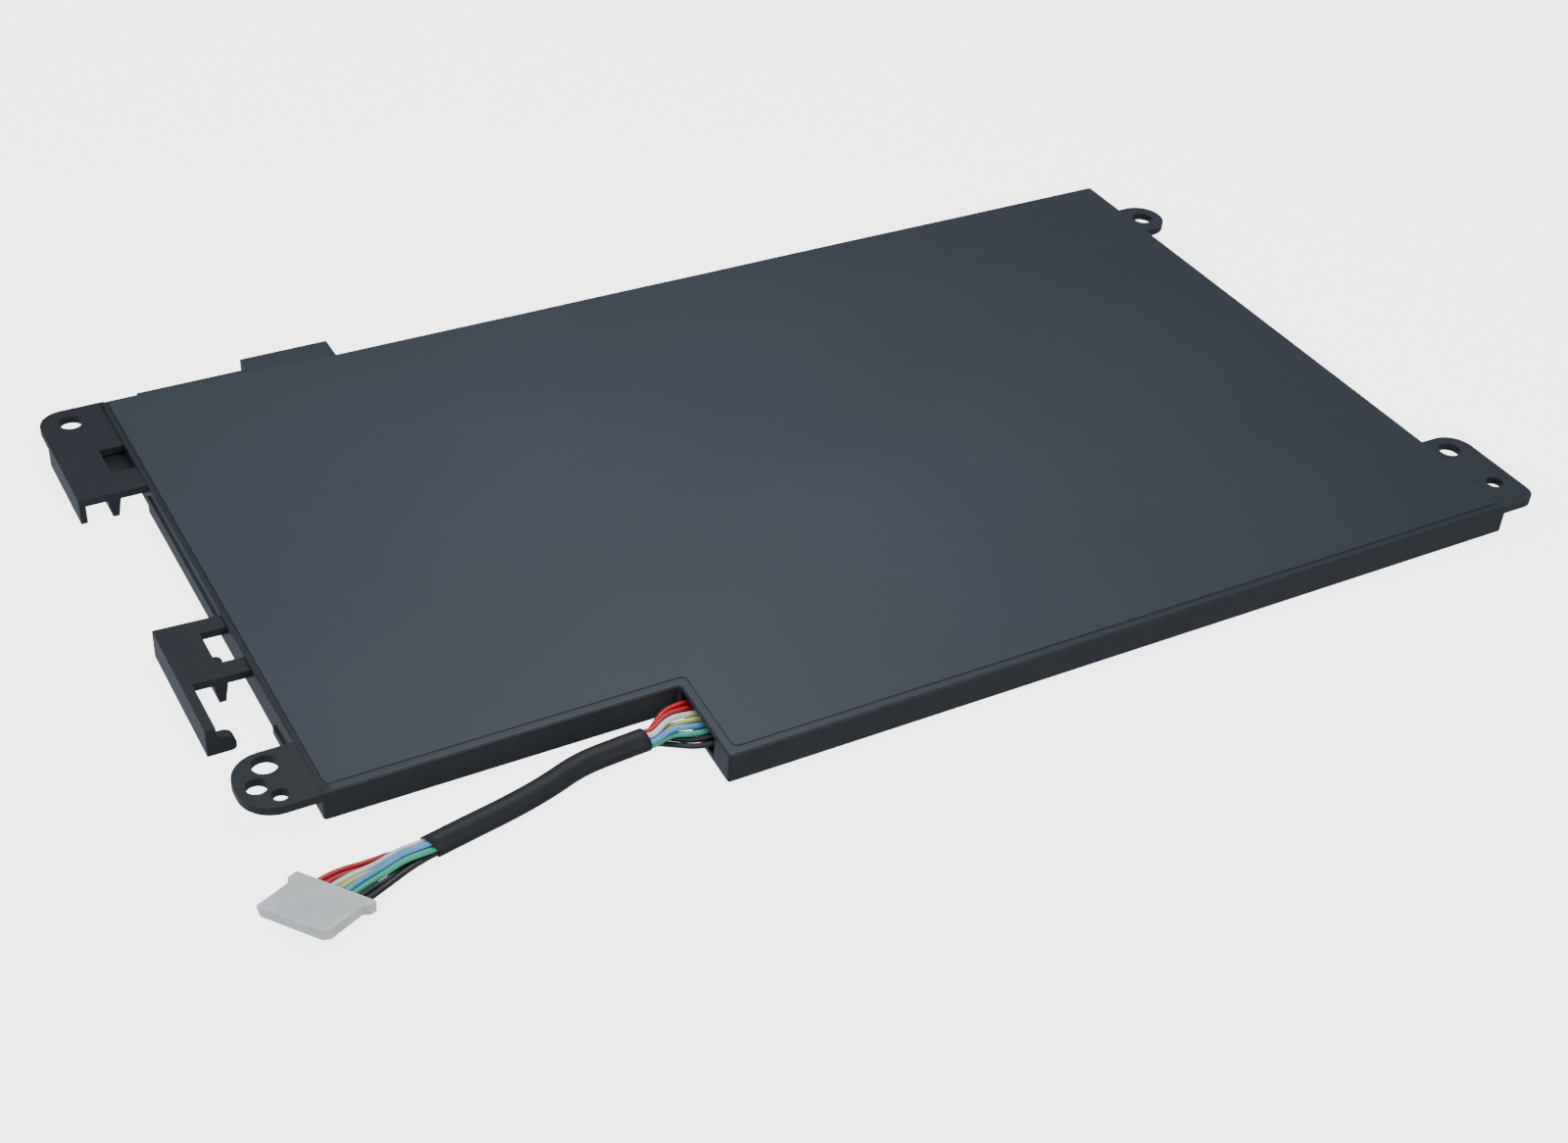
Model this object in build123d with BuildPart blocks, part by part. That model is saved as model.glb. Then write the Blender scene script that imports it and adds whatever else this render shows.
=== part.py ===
from build123d import *
from math import cos, radians, sin, tan
import os

# Flat laptop battery: a moulded frame with three pouch cells, a circuit board, two films and a lead.
# Millimetres. X runs along the pack, Y from the front wall to the back wall and Z is up.
# Positions are measured from the outer faces of the left wall and of the front wall.
# The origin is the middle of the pack's footprint, without its lead, on the underside.

# Pack body
BODY_LENGTH = 201.4
BODY_DEPTH = 121.9
BODY_HEIGHT = 5.4
FILM = 0.2
WALL = 1.2
FRONT_WALL = 2.4
CORNER_RADIUS = 0.5
RIM_RADIUS = 0.4
DIVIDER = 0.8
DIVIDER_SETBACK = 1.0

# Notch in the front wall that the lead leaves through
NOTCH_LENGTH = 53.8
NOTCH_LEAN = 0.8
NOTCH_DEPTH = 16.9
WINDOW_MARGIN = 0.5
WINDOW_HEIGHT = 3.4

# Reach of the ears and of the back tab beyond the walls
LEFT_REACH = 11.0
RIGHT_REACH = 7.1
TAB_REACH = 4.8
EAR_ROOT = 0.6

# Bracket at the back of the left wall
REAR_BRACKET_LENGTH = 26.5
REAR_BRACKET_OVERHANG = 2.0
REAR_BRACKET_RADIUS = 4.3
REAR_BRACKET_SKIRT = 18.1
REAR_FLOOR = 0.8
REAR_FLOOR_GAP = 0.3
REAR_SLOT_START = 5.7
REAR_SLOT_LENGTH = 6.9
REAR_PRONG_REACH = 6.4
REAR_HOLE_INSET = 4.1
REAR_HOLE_REACH = 6.0
REAR_HOLE_DIAMETER = 3.8

# Bracket with a hooked arm in the middle of the left wall
MIDDLE_REACH = 10.3
MIDDLE_BRACKET_FRONT = 46.6
MIDDLE_BRACKET_LENGTH = 14.1
MIDDLE_SLOT_START = 3.3
MIDDLE_SLOT_LENGTH = 7.7
ARM_LENGTH = 10.6
ARM_WALL = 1.6
HOOK_LENGTH = 4.4
HOOK_HEIGHT = 2.7
HOOK_RADIUS = 1.6
MIDDLE_PRONG_REACH = 5.6

# Shared by both brackets
BRACKET_DROP = 0.55
BRACKET_PLATE = 1.3
BRACKET_WALL = 1.1
SLOT_REACH = 4.1
NUB_WIDTH = 1.2
NUB_LENGTH = 2.4
NUB_HEIGHT = 0.7
NUB_RADIUS = 1.0
PRONG_TOP_WIDTH = 2.1
PRONG_TIP_WIDTH = 1.05
PRONG_OVERLAP = 1.2

# Three-hole ear at the front of the left wall: reach, distance from its front edge and diameter of each hole
FRONT_EAR_REACH = 10.4
FRONT_EAR_WIDTH = 11.9
FRONT_EAR_RADIUS = 5.2
FRONT_EAR_DROP = 0.2
FRONT_EAR_PLATE = 1.4
FRONT_EAR_HOLES = [(5.05, 9.1, 3.9), (7.5, 5.3, 3.2), (5.1, 2.45, 2.5)]

# Two ears on the right wall: reach, distance from the front wall and diameter of each hole
RIGHT_PLATE = 1.4
RIGHT_EAR_WIDTH = 21.1
RIGHT_EAR_BACK_RADIUS = 4.5
RIGHT_EAR_FRONT_RADIUS = 3.0
RIGHT_EAR_HOLES = [(2.65, 17.3, 3.8), (3.0, 6.45, 2.9)]
LUG_RADIUS = 4.6
LUG_REACH = 6.2
LUG_FROM_BACK = 15.0
LUG_HOLE_REACH = 2.2
LUG_HOLE_DIAMETER = 3.8

# Tab, ledge and feet on the outside of the walls
TAB_LEFT = 25.1
TAB_WIDTH = 15.6
TAB_PLATE = 1.4
LEDGE_DEPTH = 1.4
LEDGE_STEP = 0.5
LEDGE_STEP_LENGTH = 6.1
FOOT_DEPTH = 0.4
FOOT_HEIGHT = 3.0
LOW_FOOT_HEIGHT = 1.5
FOOT_GAP = 0.9

# Films
FILM_FRONT_SETBACK = 1.5
FILM_SIDE_SETBACK = 0.5
FILM_RADIUS = 1.0
UNDER_FILM_SETBACK = 0.6

# Cells
CELL_COUNT = 3
CELL_GAP = 0.4
CELL_HEADROOM = 0.25
CELL_RADIUS = 1.0
CELL_TAPE = 0.1
CELL_TAPE_MARGIN = 6.0
TERRACE_DEPTH = 3.5
TERRACE_GAP = 0.4
TERRACE_THICKNESS = 0.5
TAB_TAPE = 0.08
TAB_TAPE_MARGIN = 2.5
CELL_TAB_WIDTH = 5.0
CELL_TAB_THICKNESS = 0.15
CELL_TAB_INSET = 12.0
CELL_TAB_PITCH = 22.0

# Circuit board and what is on it
BOARD_CLEARANCE = 0.4
BOARD_THICKNESS = 0.8
BOARD_ARM_DEPTH = 2.4
PAD_THICKNESS = 0.3
PAD_DEPTH = 2.0
PAD_MARGIN = 0.6
FINGER_COUNT = 5
FINGER_WIDTH = 1.6
INSULATOR = 0.1
INSULATOR_MARGIN = 0.5
CHIP_LINE = 9.5
GAUGE_CHIP = (7.0, 7.0, 0.9)
GAUGE_CHIP_X = 16.0
TRANSISTOR = (5.2, 6.1, 1.0)
TRANSISTOR_COUNT = 3
TRANSISTOR_PITCH = 7.0
TRANSISTOR_X = 28.0
SENSE_RESISTOR = (6.4, 3.2, 0.6)
SENSE_RESISTOR_X = 52.0
FUSE = (5.4, 3.3, 0.9)
FUSE_X = 62.0
THERMISTOR = (1.6, 0.8, 0.8)
THERMISTOR_X = 72.0
CAPACITOR = (1.6, 0.8, 0.8)
CAPACITOR_COUNT = 8
CAPACITOR_X = 14.0
CAPACITOR_LINE = 4.6
RESISTOR = (1.0, 0.5, 0.35)
RESISTOR_COUNT = 8
RESISTOR_X = 12.0
RESISTOR_LINE = 14.6
SMALL_PITCH = 3.2

# Lead: eight wires that leave the board in a row and lie in a ring in the sleeve. Between the two they
# fan out, each at its own distance to the left of the lead's middle line and above it.
WIRE_DIAMETER = 0.9
WIRE_NAMES = ["red_back", "red_front", "white", "yellow", "blue", "green", "black_back", "black_front"]
RING_NAMES = ["red_back", "red_front", "white", "blue", "green", "black_front", "black_back"]
WIRE_SEAT_GAP = 0.03
BOARD_ROW_PITCH = 1.35
PLUG_ROW_PITCH = 1.2
RING_RADIUS = 1.1
RING_START = 196.0
BOARD_FAN = {
    "red_back": (-3.62, 0.33),
    "red_front": (-2.65, 1.1),
    "white": (-1.29, 0.82),
    "yellow": (-0.4, 0.1),
    "blue": (0.51, 0.88),
    "green": (1.89, 0.34),
    "black_back": (1.46, -1.46),
    "black_front": (3.06, -1.51),
}
PLUG_FAN = {
    "red_back": (-2.93, -0.43),
    "red_front": (-1.96, 0.37),
    "white": (-1.0, 0.84),
    "yellow": (-0.3, -0.22),
    "blue": (0.22, 1.25),
    "green": (1.26, 0.6),
    "black_back": (1.39, -1.22),
    "black_front": (2.68, -1.28),
}
SLEEVE_INNER_DIAMETER = 3.24
SLEEVE_DIAMETER = 3.6
FLOOR_GAP = 0.05
BEND_SHARE = 0.45
STRIPPED_REACH = 2.8
PLUG_APPROACH = 2.4
SOLDER_LENGTH = 1.3
SOLDER_WIDTH = 1.0
SOLDER_HEIGHT = 0.8

# Plug
PLUG_WIDTH = 11.6
PLUG_LENGTH = 9.0
PLUG_HEIGHT = 1.7
PLUG_FLANGE_REACH = 0.9
PLUG_FLANGE_LENGTH = 1.8
PLUG_CHAMFER = 0.8
PLUG_EDGE = 0.25
PLUG_LEAN = 0.5
PLUG_ROW_OFFSET = 0.7
PLUG_BACK = (-3.74, 1.99, 0.87)
PLUG_HEADING = 210.6
PLUG_PITCH = 8.9
PLUG_ROLL = 7.3
PLUG_BORE_DEPTH = 2.6
PLUG_CLEARANCE = 0.05
TERMINAL_SIZE = 0.8
TERMINAL_LENGTH = 4.6
TERMINAL_LIFT = 0.2

# Worked out from the sizes above
FRAME_BOTTOM = FILM
FRAME_TOP = BODY_HEIGHT - FILM
FRAME_HEIGHT = FRAME_TOP - FRAME_BOTTOM
NOTCH_CORNER = NOTCH_LENGTH + NOTCH_LEAN
BAY_LEFT = NOTCH_CORNER + FRONT_WALL
BRACKET_TOP = FRAME_TOP - BRACKET_DROP
BRACKET_UNDER = BRACKET_TOP - BRACKET_PLATE
REAR_BRACKET_BACK = BODY_DEPTH + REAR_BRACKET_OVERHANG
REAR_BRACKET_FRONT = REAR_BRACKET_BACK - REAR_BRACKET_LENGTH
MIDDLE_BRACKET_BACK = MIDDLE_BRACKET_FRONT + MIDDLE_BRACKET_LENGTH
HOOK_FRONT = MIDDLE_BRACKET_FRONT - ARM_LENGTH
FRONT_EAR_TOP = FRAME_TOP - FRONT_EAR_DROP
FRONT_EAR_BACK = NOTCH_DEPTH + FRONT_EAR_WIDTH
RIGHT_UNDER = FRAME_TOP - RIGHT_PLATE
LUG_CENTRE = BODY_DEPTH - LUG_FROM_BACK
TAB_RIGHT = TAB_LEFT + TAB_WIDTH
CELL_BOTTOM = FRAME_BOTTOM + CELL_TAPE
CELL_TOP = FRAME_TOP - CELL_HEADROOM
CELL_BAY = (BODY_LENGTH - 2 * WALL - (CELL_COUNT - 1) * DIVIDER) / CELL_COUNT
CELL_WIDTH = CELL_BAY - 2 * CELL_GAP
CELL_BACK = BODY_DEPTH - WALL - CELL_GAP
BOARD_ARM_FRONT = NOTCH_DEPTH + FRONT_WALL + BOARD_CLEARANCE
BOARD_BACK = BOARD_ARM_FRONT + BOARD_ARM_DEPTH
TERRACE_FRONT = BOARD_BACK + TERRACE_GAP
CELL_FRONT = TERRACE_FRONT + TERRACE_DEPTH
DIVIDER_FRONT = CELL_FRONT + DIVIDER_SETBACK
PAD_FRONT = BOARD_BACK - PAD_DEPTH
TAB_BOTTOM = (CELL_BOTTOM + CELL_TOP) / 2 - CELL_TAB_THICKNESS / 2
TERRACE_BOTTOM = TAB_BOTTOM + CELL_TAB_THICKNESS / 2 - TERRACE_THICKNESS / 2
BOARD_TOP = TAB_BOTTOM - PAD_THICKNESS
BOARD_BOTTOM = BOARD_TOP - BOARD_THICKNESS
BOARD_LEFT = BAY_LEFT + BOARD_CLEARANCE
BOARD_RIGHT = BODY_LENGTH - WALL - BOARD_CLEARANCE
BOARD_FRONT = FRONT_WALL + BOARD_CLEARANCE
ROW_LEVEL = BOARD_TOP + WIRE_DIAMETER / 2 + WIRE_SEAT_GAP
SLEEVE_LEVEL = SLEEVE_DIAMETER / 2 + FLOOR_GAP
PLUG_ROW_LEVEL = PLUG_HEIGHT / 2
WIRE_COUNT = len(WIRE_NAMES)
WIRE_MIDDLE = (WIRE_COUNT - 1) / 2
ROW_HALF = WIRE_MIDDLE * BOARD_ROW_PITCH + WIRE_DIAMETER / 2 + WINDOW_MARGIN
ROW_MIDDLE = NOTCH_DEPTH - WALL / 2 - ROW_HALF

LEFT = -(BODY_LENGTH + RIGHT_REACH - LEFT_REACH) / 2
FRONT = -(BODY_DEPTH + TAB_REACH) / 2
PACK = Plane(origin=(LEFT, FRONT, 0))
PLUG_AXIS = Vector(1, 0, 0).rotate(Axis.Y, -PLUG_PITCH).rotate(Axis.Z, PLUG_HEADING)
PLUG_ACROSS = Vector(0, 1, 0).rotate(Axis.Z, PLUG_HEADING).rotate(Axis((0, 0, 0), PLUG_AXIS), PLUG_ROLL)
PLUG_UP = PLUG_AXIS.cross(PLUG_ACROSS)
PLUG = Plane(origin=PACK.from_local_coords(PLUG_BACK), x_dir=PLUG_ACROSS, z_dir=PLUG_UP)
PLUG_STEP = Plane(
    origin=PLUG.from_local_coords((0, -PLUG_FLANGE_LENGTH, 0)),
    x_dir=PLUG_ACROSS,
    z_dir=PLUG_AXIS,
)

CELL_SIDES = ["left", "middle", "right"]
FRAME_OUTLINE = [
    (0, NOTCH_DEPTH),
    (NOTCH_CORNER, NOTCH_DEPTH),
    (NOTCH_LENGTH, 0),
    (BODY_LENGTH, 0),
    (BODY_LENGTH, BODY_DEPTH),
    (0, BODY_DEPTH),
]


def slab(x_span, y_span, z_span, mode=Mode.ADD):
    """Adds or cuts a box between two corners of the part that is being built."""
    spans = (x_span, y_span, z_span)
    middle = tuple((low + high) / 2 for low, high in spans)
    size = tuple(high - low for low, high in spans)
    with Locations(middle):
        Box(*size, mode=mode)


def drill(x, y, diameter, z_span):
    """Cuts a round hole through the part that is being built."""
    low, high = z_span
    with Locations((x, y, (low + high) / 2)):
        Cylinder(diameter / 2, high - low, mode=Mode.SUBTRACT)


def facing_front(y):
    """Upright plane that faces the front at a distance behind the front wall."""
    return Plane(origin=(LEFT, FRONT + y, 0), x_dir=(1, 0, 0), z_dir=(0, -1, 0))


def save(builder, name):
    """Labels a finished piece and writes it to its own file."""
    builder.part.label = name
    export_step(builder.part, f"parts/{name}.step")


def cell_left_edge(index):
    """Left side of a cell, counted from the left wall."""
    return WALL + index * (CELL_BAY + DIVIDER) + CELL_GAP


def cell_tab_middle(index, step):
    """Middle of a cell's tab, counted from the cell's right side towards the left."""
    return cell_left_edge(index) + CELL_WIDTH - CELL_TAB_INSET - step * CELL_TAB_PITCH


os.makedirs("parts", exist_ok=True)

# Frame: outer walls round the bays, then the dividers, fingers, ears and brackets of the same moulding
with BuildPart(PACK) as frame:
    with BuildSketch(PACK.offset(FRAME_BOTTOM)) as body_sketch:
        with BuildLine():
            Polyline(*FRAME_OUTLINE, close=True)
        make_face()
        fillet(body_sketch.vertices(), radius=CORNER_RADIUS)
    extrude(amount=FRAME_HEIGHT)
    fillet(frame.faces().sort_by(Axis.Z)[-1].edges(), radius=RIM_RADIUS)
    with BuildSketch(PACK.offset(FRAME_BOTTOM)):
        with BuildLine():
            Polyline(
                (WALL, NOTCH_DEPTH + FRONT_WALL),
                (BAY_LEFT, NOTCH_DEPTH + FRONT_WALL),
                (BAY_LEFT, FRONT_WALL),
                (BODY_LENGTH - WALL, FRONT_WALL),
                (BODY_LENGTH - WALL, BODY_DEPTH - WALL),
                (WALL, BODY_DEPTH - WALL),
                close=True,
            )
        make_face()
    extrude(amount=FRAME_HEIGHT, mode=Mode.SUBTRACT)

    frame_span = (FRAME_BOTTOM, FRAME_TOP)
    for bay in range(1, CELL_COUNT):
        divider_left = WALL + bay * CELL_BAY + (bay - 1) * DIVIDER
        slab((divider_left, divider_left + DIVIDER), (DIVIDER_FRONT, BODY_DEPTH - EAR_ROOT), frame_span)
    finger_pitch = (BOARD_RIGHT - BOARD_LEFT) / FINGER_COUNT
    for finger in range(FINGER_COUNT):
        finger_left = BOARD_LEFT + (finger + 0.5) * finger_pitch - FINGER_WIDTH / 2
        slab(
            (finger_left, finger_left + FINGER_WIDTH),
            (FRONT_WALL / 2, BOARD_BACK),
            (FRAME_BOTTOM, BOARD_BOTTOM),
        )

    # Window in the notch's side wall for the row of wires
    slab(
        (NOTCH_LENGTH - NOTCH_LEAN, BAY_LEFT + WALL),
        (ROW_MIDDLE - ROW_HALF, ROW_MIDDLE + ROW_HALF),
        (ROW_LEVEL - WINDOW_HEIGHT / 2, ROW_LEVEL + WINDOW_HEIGHT / 2),
        mode=Mode.SUBTRACT,
    )

    # Feet that stand a little proud along the left wall, ledge and tab on the back wall
    slab(
        (-FOOT_DEPTH, EAR_ROOT),
        (MIDDLE_BRACKET_BACK + FOOT_GAP, REAR_BRACKET_FRONT - FOOT_GAP),
        (FRAME_BOTTOM, FRAME_BOTTOM + FOOT_HEIGHT),
    )
    slab(
        (-FOOT_DEPTH, EAR_ROOT),
        (FRONT_EAR_BACK - EAR_ROOT, HOOK_FRONT + FOOT_GAP),
        (FRAME_BOTTOM, FRAME_BOTTOM + LOW_FOOT_HEIGHT),
    )
    slab((0, TAB_RIGHT), (BODY_DEPTH - EAR_ROOT, BODY_DEPTH + LEDGE_DEPTH - LEDGE_STEP), frame_span)
    slab((LEDGE_STEP_LENGTH, TAB_LEFT), (BODY_DEPTH - EAR_ROOT, BODY_DEPTH + LEDGE_DEPTH), frame_span)
    tab_back = BODY_DEPTH + TAB_REACH
    slab((TAB_LEFT, TAB_RIGHT), (BODY_DEPTH - EAR_ROOT, tab_back), (FRAME_TOP - TAB_PLATE, FRAME_TOP))
    for side in (TAB_LEFT, TAB_RIGHT - WALL):
        slab((side, side + WALL), (BODY_DEPTH - EAR_ROOT, tab_back), frame_span)

    # Rear bracket: plate with a rounded corner, skirt and a floor under its slot
    with BuildSketch(PACK.offset(BRACKET_UNDER)) as rear_plate:
        with Locations(((EAR_ROOT - LEFT_REACH) / 2, (REAR_BRACKET_FRONT + REAR_BRACKET_BACK) / 2)):
            Rectangle(LEFT_REACH + EAR_ROOT, REAR_BRACKET_LENGTH)
        fillet(rear_plate.vertices().sort_by(Axis.X)[:2].sort_by(Axis.Y)[-1:], radius=REAR_BRACKET_RADIUS)
    extrude(amount=BRACKET_PLATE)
    skirt_back = REAR_BRACKET_FRONT + REAR_BRACKET_SKIRT
    rear_slot_front = REAR_BRACKET_FRONT + REAR_SLOT_START
    bracket_skirt = (FRAME_BOTTOM, BRACKET_TOP - BRACKET_PLATE / 2)
    slab((-LEFT_REACH, BRACKET_WALL - LEFT_REACH), (REAR_BRACKET_FRONT, skirt_back), bracket_skirt)
    slab((-LEFT_REACH, EAR_ROOT), (skirt_back - BRACKET_WALL, skirt_back), bracket_skirt)
    floor_top = BRACKET_UNDER - REAR_FLOOR_GAP
    slab((-LEFT_REACH, EAR_ROOT), (rear_slot_front, skirt_back), (floor_top - REAR_FLOOR, floor_top))

    # Middle bracket: plate and skirt, with an arm that runs forward to a rounded hook
    slab(
        (-MIDDLE_REACH, EAR_ROOT),
        (MIDDLE_BRACKET_FRONT, MIDDLE_BRACKET_BACK),
        (BRACKET_UNDER, BRACKET_TOP),
    )
    arm_span = (-MIDDLE_REACH, ARM_WALL - MIDDLE_REACH)
    slab(arm_span, (HOOK_FRONT, MIDDLE_BRACKET_BACK), (FRAME_BOTTOM, BRACKET_TOP))
    with BuildSketch(facing_front(HOOK_FRONT)) as hook:
        with Locations((HOOK_LENGTH / 2 - MIDDLE_REACH, FRAME_BOTTOM + HOOK_HEIGHT / 2)):
            Rectangle(HOOK_LENGTH, HOOK_HEIGHT)
        fillet(hook.vertices().sort_by(Axis.X)[2:].sort_by(Axis.Y)[-1:], radius=HOOK_RADIUS)
    extrude(amount=-ARM_WALL)

    # Slots through both bracket plates up to the wall, a nub in a corner of each and a prong beside it
    for plate_front, slot_start, slot_length, prong_reach in (
        (REAR_BRACKET_FRONT, REAR_SLOT_START, REAR_SLOT_LENGTH, REAR_PRONG_REACH),
        (MIDDLE_BRACKET_FRONT, MIDDLE_SLOT_START, MIDDLE_SLOT_LENGTH, MIDDLE_PRONG_REACH),
    ):
        slot_front = plate_front + slot_start
        slab(
            (-SLOT_REACH, 0),
            (slot_front, slot_front + slot_length),
            (BRACKET_UNDER, BRACKET_TOP),
            mode=Mode.SUBTRACT,
        )
        with BuildSketch(PACK.offset(BRACKET_UNDER)) as nub:
            with Locations((NUB_WIDTH - SLOT_REACH, slot_front + NUB_LENGTH)):
                Rectangle(2 * NUB_WIDTH, 2 * NUB_LENGTH, align=(Align.MAX, Align.MAX))
            fillet(nub.vertices().sort_by(Axis.X)[2:].sort_by(Axis.Y)[-1:], radius=NUB_RADIUS)
        extrude(amount=NUB_HEIGHT)
        prong_middle = PRONG_TOP_WIDTH / 2 - prong_reach
        with BuildSketch(facing_front(plate_front)):
            with BuildLine():
                Polyline(
                    (prong_middle - PRONG_TOP_WIDTH / 2, BRACKET_UNDER),
                    (prong_middle - PRONG_TIP_WIDTH / 2, FRAME_BOTTOM),
                    (prong_middle + PRONG_TIP_WIDTH / 2, FRAME_BOTTOM),
                    (prong_middle + PRONG_TOP_WIDTH / 2, BRACKET_UNDER),
                    close=True,
                )
            make_face()
        extrude(amount=-(slot_start + PRONG_OVERLAP))

    # Front ear on the left wall
    with BuildSketch(PACK.offset(FRONT_EAR_TOP - FRONT_EAR_PLATE)) as front_ear:
        with Locations(((EAR_ROOT - FRONT_EAR_REACH) / 2, NOTCH_DEPTH + FRONT_EAR_WIDTH / 2)):
            Rectangle(FRONT_EAR_REACH + EAR_ROOT, FRONT_EAR_WIDTH)
        fillet(front_ear.vertices().sort_by(Axis.X)[:2], radius=FRONT_EAR_RADIUS)
    extrude(amount=FRONT_EAR_PLATE)

    # Ear and lug on the right wall
    with BuildSketch(PACK.offset(RIGHT_UNDER)) as right_ear:
        with Locations((BODY_LENGTH + (RIGHT_REACH - EAR_ROOT) / 2, RIGHT_EAR_WIDTH / 2)):
            Rectangle(RIGHT_REACH + EAR_ROOT, RIGHT_EAR_WIDTH)
        outer_corners = right_ear.vertices().sort_by(Axis.X)[2:].sort_by(Axis.Y)
        fillet(outer_corners[-1:], radius=RIGHT_EAR_BACK_RADIUS)
        outer_corners = right_ear.vertices().group_by(Axis.Y)[0].sort_by(Axis.X)
        fillet(outer_corners[-1:], radius=RIGHT_EAR_FRONT_RADIUS)
    extrude(amount=RIGHT_PLATE)
    with BuildSketch(PACK.offset(RIGHT_UNDER)):
        lug_middle = BODY_LENGTH + LUG_REACH - LUG_RADIUS
        with Locations((lug_middle, LUG_CENTRE)):
            Circle(LUG_RADIUS)
            Rectangle(LUG_RADIUS, 2 * LUG_RADIUS, align=(Align.MAX, Align.CENTER))
        with Locations((BODY_LENGTH - EAR_ROOT, LUG_CENTRE)):
            Rectangle(
                LUG_REACH + EAR_ROOT,
                2 * LUG_RADIUS,
                align=(Align.MIN, Align.CENTER),
                mode=Mode.INTERSECT,
            )
    extrude(amount=RIGHT_PLATE)

    # Screw and locating holes
    drill(
        -REAR_HOLE_REACH,
        REAR_BRACKET_BACK - REAR_HOLE_INSET,
        REAR_HOLE_DIAMETER,
        (BRACKET_UNDER, BRACKET_TOP),
    )
    for reach, inset, diameter in FRONT_EAR_HOLES:
        drill(-reach, NOTCH_DEPTH + inset, diameter, (FRONT_EAR_TOP - FRONT_EAR_PLATE, FRONT_EAR_TOP))
    for reach, inset, diameter in RIGHT_EAR_HOLES:
        drill(BODY_LENGTH + reach, inset, diameter, (RIGHT_UNDER, FRAME_TOP))
    drill(BODY_LENGTH + LUG_HOLE_REACH, LUG_CENTRE, LUG_HOLE_DIAMETER, (RIGHT_UNDER, FRAME_TOP))
save(frame, "frame")

# Top film, set back from the front edges so that the rim shows
film_back = BODY_DEPTH + LEDGE_DEPTH - LEDGE_STEP - FILM_SIDE_SETBACK
with BuildPart(PACK) as top_film:
    with BuildSketch(PACK.offset(FRAME_TOP)) as top_sketch:
        with BuildLine():
            Polyline(
                (FILM_SIDE_SETBACK, NOTCH_DEPTH + FILM_FRONT_SETBACK),
                (NOTCH_CORNER + FILM_FRONT_SETBACK, NOTCH_DEPTH + FILM_FRONT_SETBACK),
                (NOTCH_LENGTH + FILM_FRONT_SETBACK, FILM_FRONT_SETBACK),
                (BODY_LENGTH - FILM_SIDE_SETBACK, FILM_FRONT_SETBACK),
                (BODY_LENGTH - FILM_SIDE_SETBACK, BODY_DEPTH - FILM_SIDE_SETBACK),
                (TAB_RIGHT, BODY_DEPTH - FILM_SIDE_SETBACK),
                (TAB_LEFT, film_back),
                (FILM_SIDE_SETBACK, film_back),
                close=True,
            )
        make_face()
        fillet(top_sketch.vertices(), radius=FILM_RADIUS)
    extrude(amount=FILM)
save(top_film, "top_film")

with BuildPart(PACK) as bottom_film:
    with BuildSketch(PACK):
        with BuildLine():
            Polyline(*FRAME_OUTLINE, close=True)
        make_face()
        offset(amount=-UNDER_FILM_SETBACK, kind=Kind.INTERSECTION, mode=Mode.REPLACE)
    extrude(amount=FILM)
save(bottom_film, "bottom_film")

# Cells, each a sealed pouch with a flat sealed terrace in front, its adhesive, tabs and tape
for index, cell_side in enumerate(CELL_SIDES):
    cell_left = cell_left_edge(index)
    cell_span = (cell_left, cell_left + CELL_WIDTH)
    with BuildPart(PACK) as cell:
        slab(cell_span, (CELL_FRONT, CELL_BACK), (CELL_BOTTOM, CELL_TOP))
        fillet(cell.edges().filter_by(Axis.Y), radius=CELL_RADIUS)
        slab(
            (cell_span[0] + CELL_RADIUS, cell_span[1] - CELL_RADIUS),
            (TERRACE_FRONT, CELL_FRONT),
            (TERRACE_BOTTOM, TERRACE_BOTTOM + TERRACE_THICKNESS),
        )
    save(cell, f"cell_{cell_side}")

    with BuildPart(PACK) as cell_tape:
        slab(
            (cell_span[0] + CELL_TAPE_MARGIN, cell_span[1] - CELL_TAPE_MARGIN),
            (CELL_FRONT + CELL_TAPE_MARGIN, CELL_BACK - CELL_TAPE_MARGIN),
            (FRAME_BOTTOM, CELL_BOTTOM),
        )
    save(cell_tape, f"cell_tape_{cell_side}")

    terrace_top = TERRACE_BOTTOM + TERRACE_THICKNESS
    with BuildPart(PACK) as tab_tape:
        slab(
            (cell_span[0] + TAB_TAPE_MARGIN, cell_span[1] - TAB_TAPE_MARGIN),
            (TERRACE_FRONT, CELL_FRONT),
            (terrace_top, terrace_top + TAB_TAPE),
        )
    save(tab_tape, f"tab_tape_{cell_side}")

    for step, pole in enumerate(("plus", "minus")):
        tab_middle = cell_tab_middle(index, step)
        with BuildPart(PACK) as cell_tab:
            slab(
                (tab_middle - CELL_TAB_WIDTH / 2, tab_middle + CELL_TAB_WIDTH / 2),
                (PAD_FRONT, TERRACE_FRONT),
                (TAB_BOTTOM, TAB_BOTTOM + CELL_TAB_THICKNESS),
            )
        save(cell_tab, f"tab_{cell_side}_{pole}")

# Circuit board along the front wall, with an arm to the left cell's tabs and its parts in rows counted
# from its left end
arm_left = cell_tab_middle(0, 1) - CELL_TAB_WIDTH / 2 - PAD_MARGIN
with BuildPart(PACK) as board:
    slab((arm_left, BOARD_RIGHT), (BOARD_ARM_FRONT, BOARD_BACK), (BOARD_BOTTOM, BOARD_TOP))
    slab((BOARD_LEFT, BOARD_RIGHT), (BOARD_FRONT, BOARD_BACK), (BOARD_BOTTOM, BOARD_TOP))
save(board, "protection_board")

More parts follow.
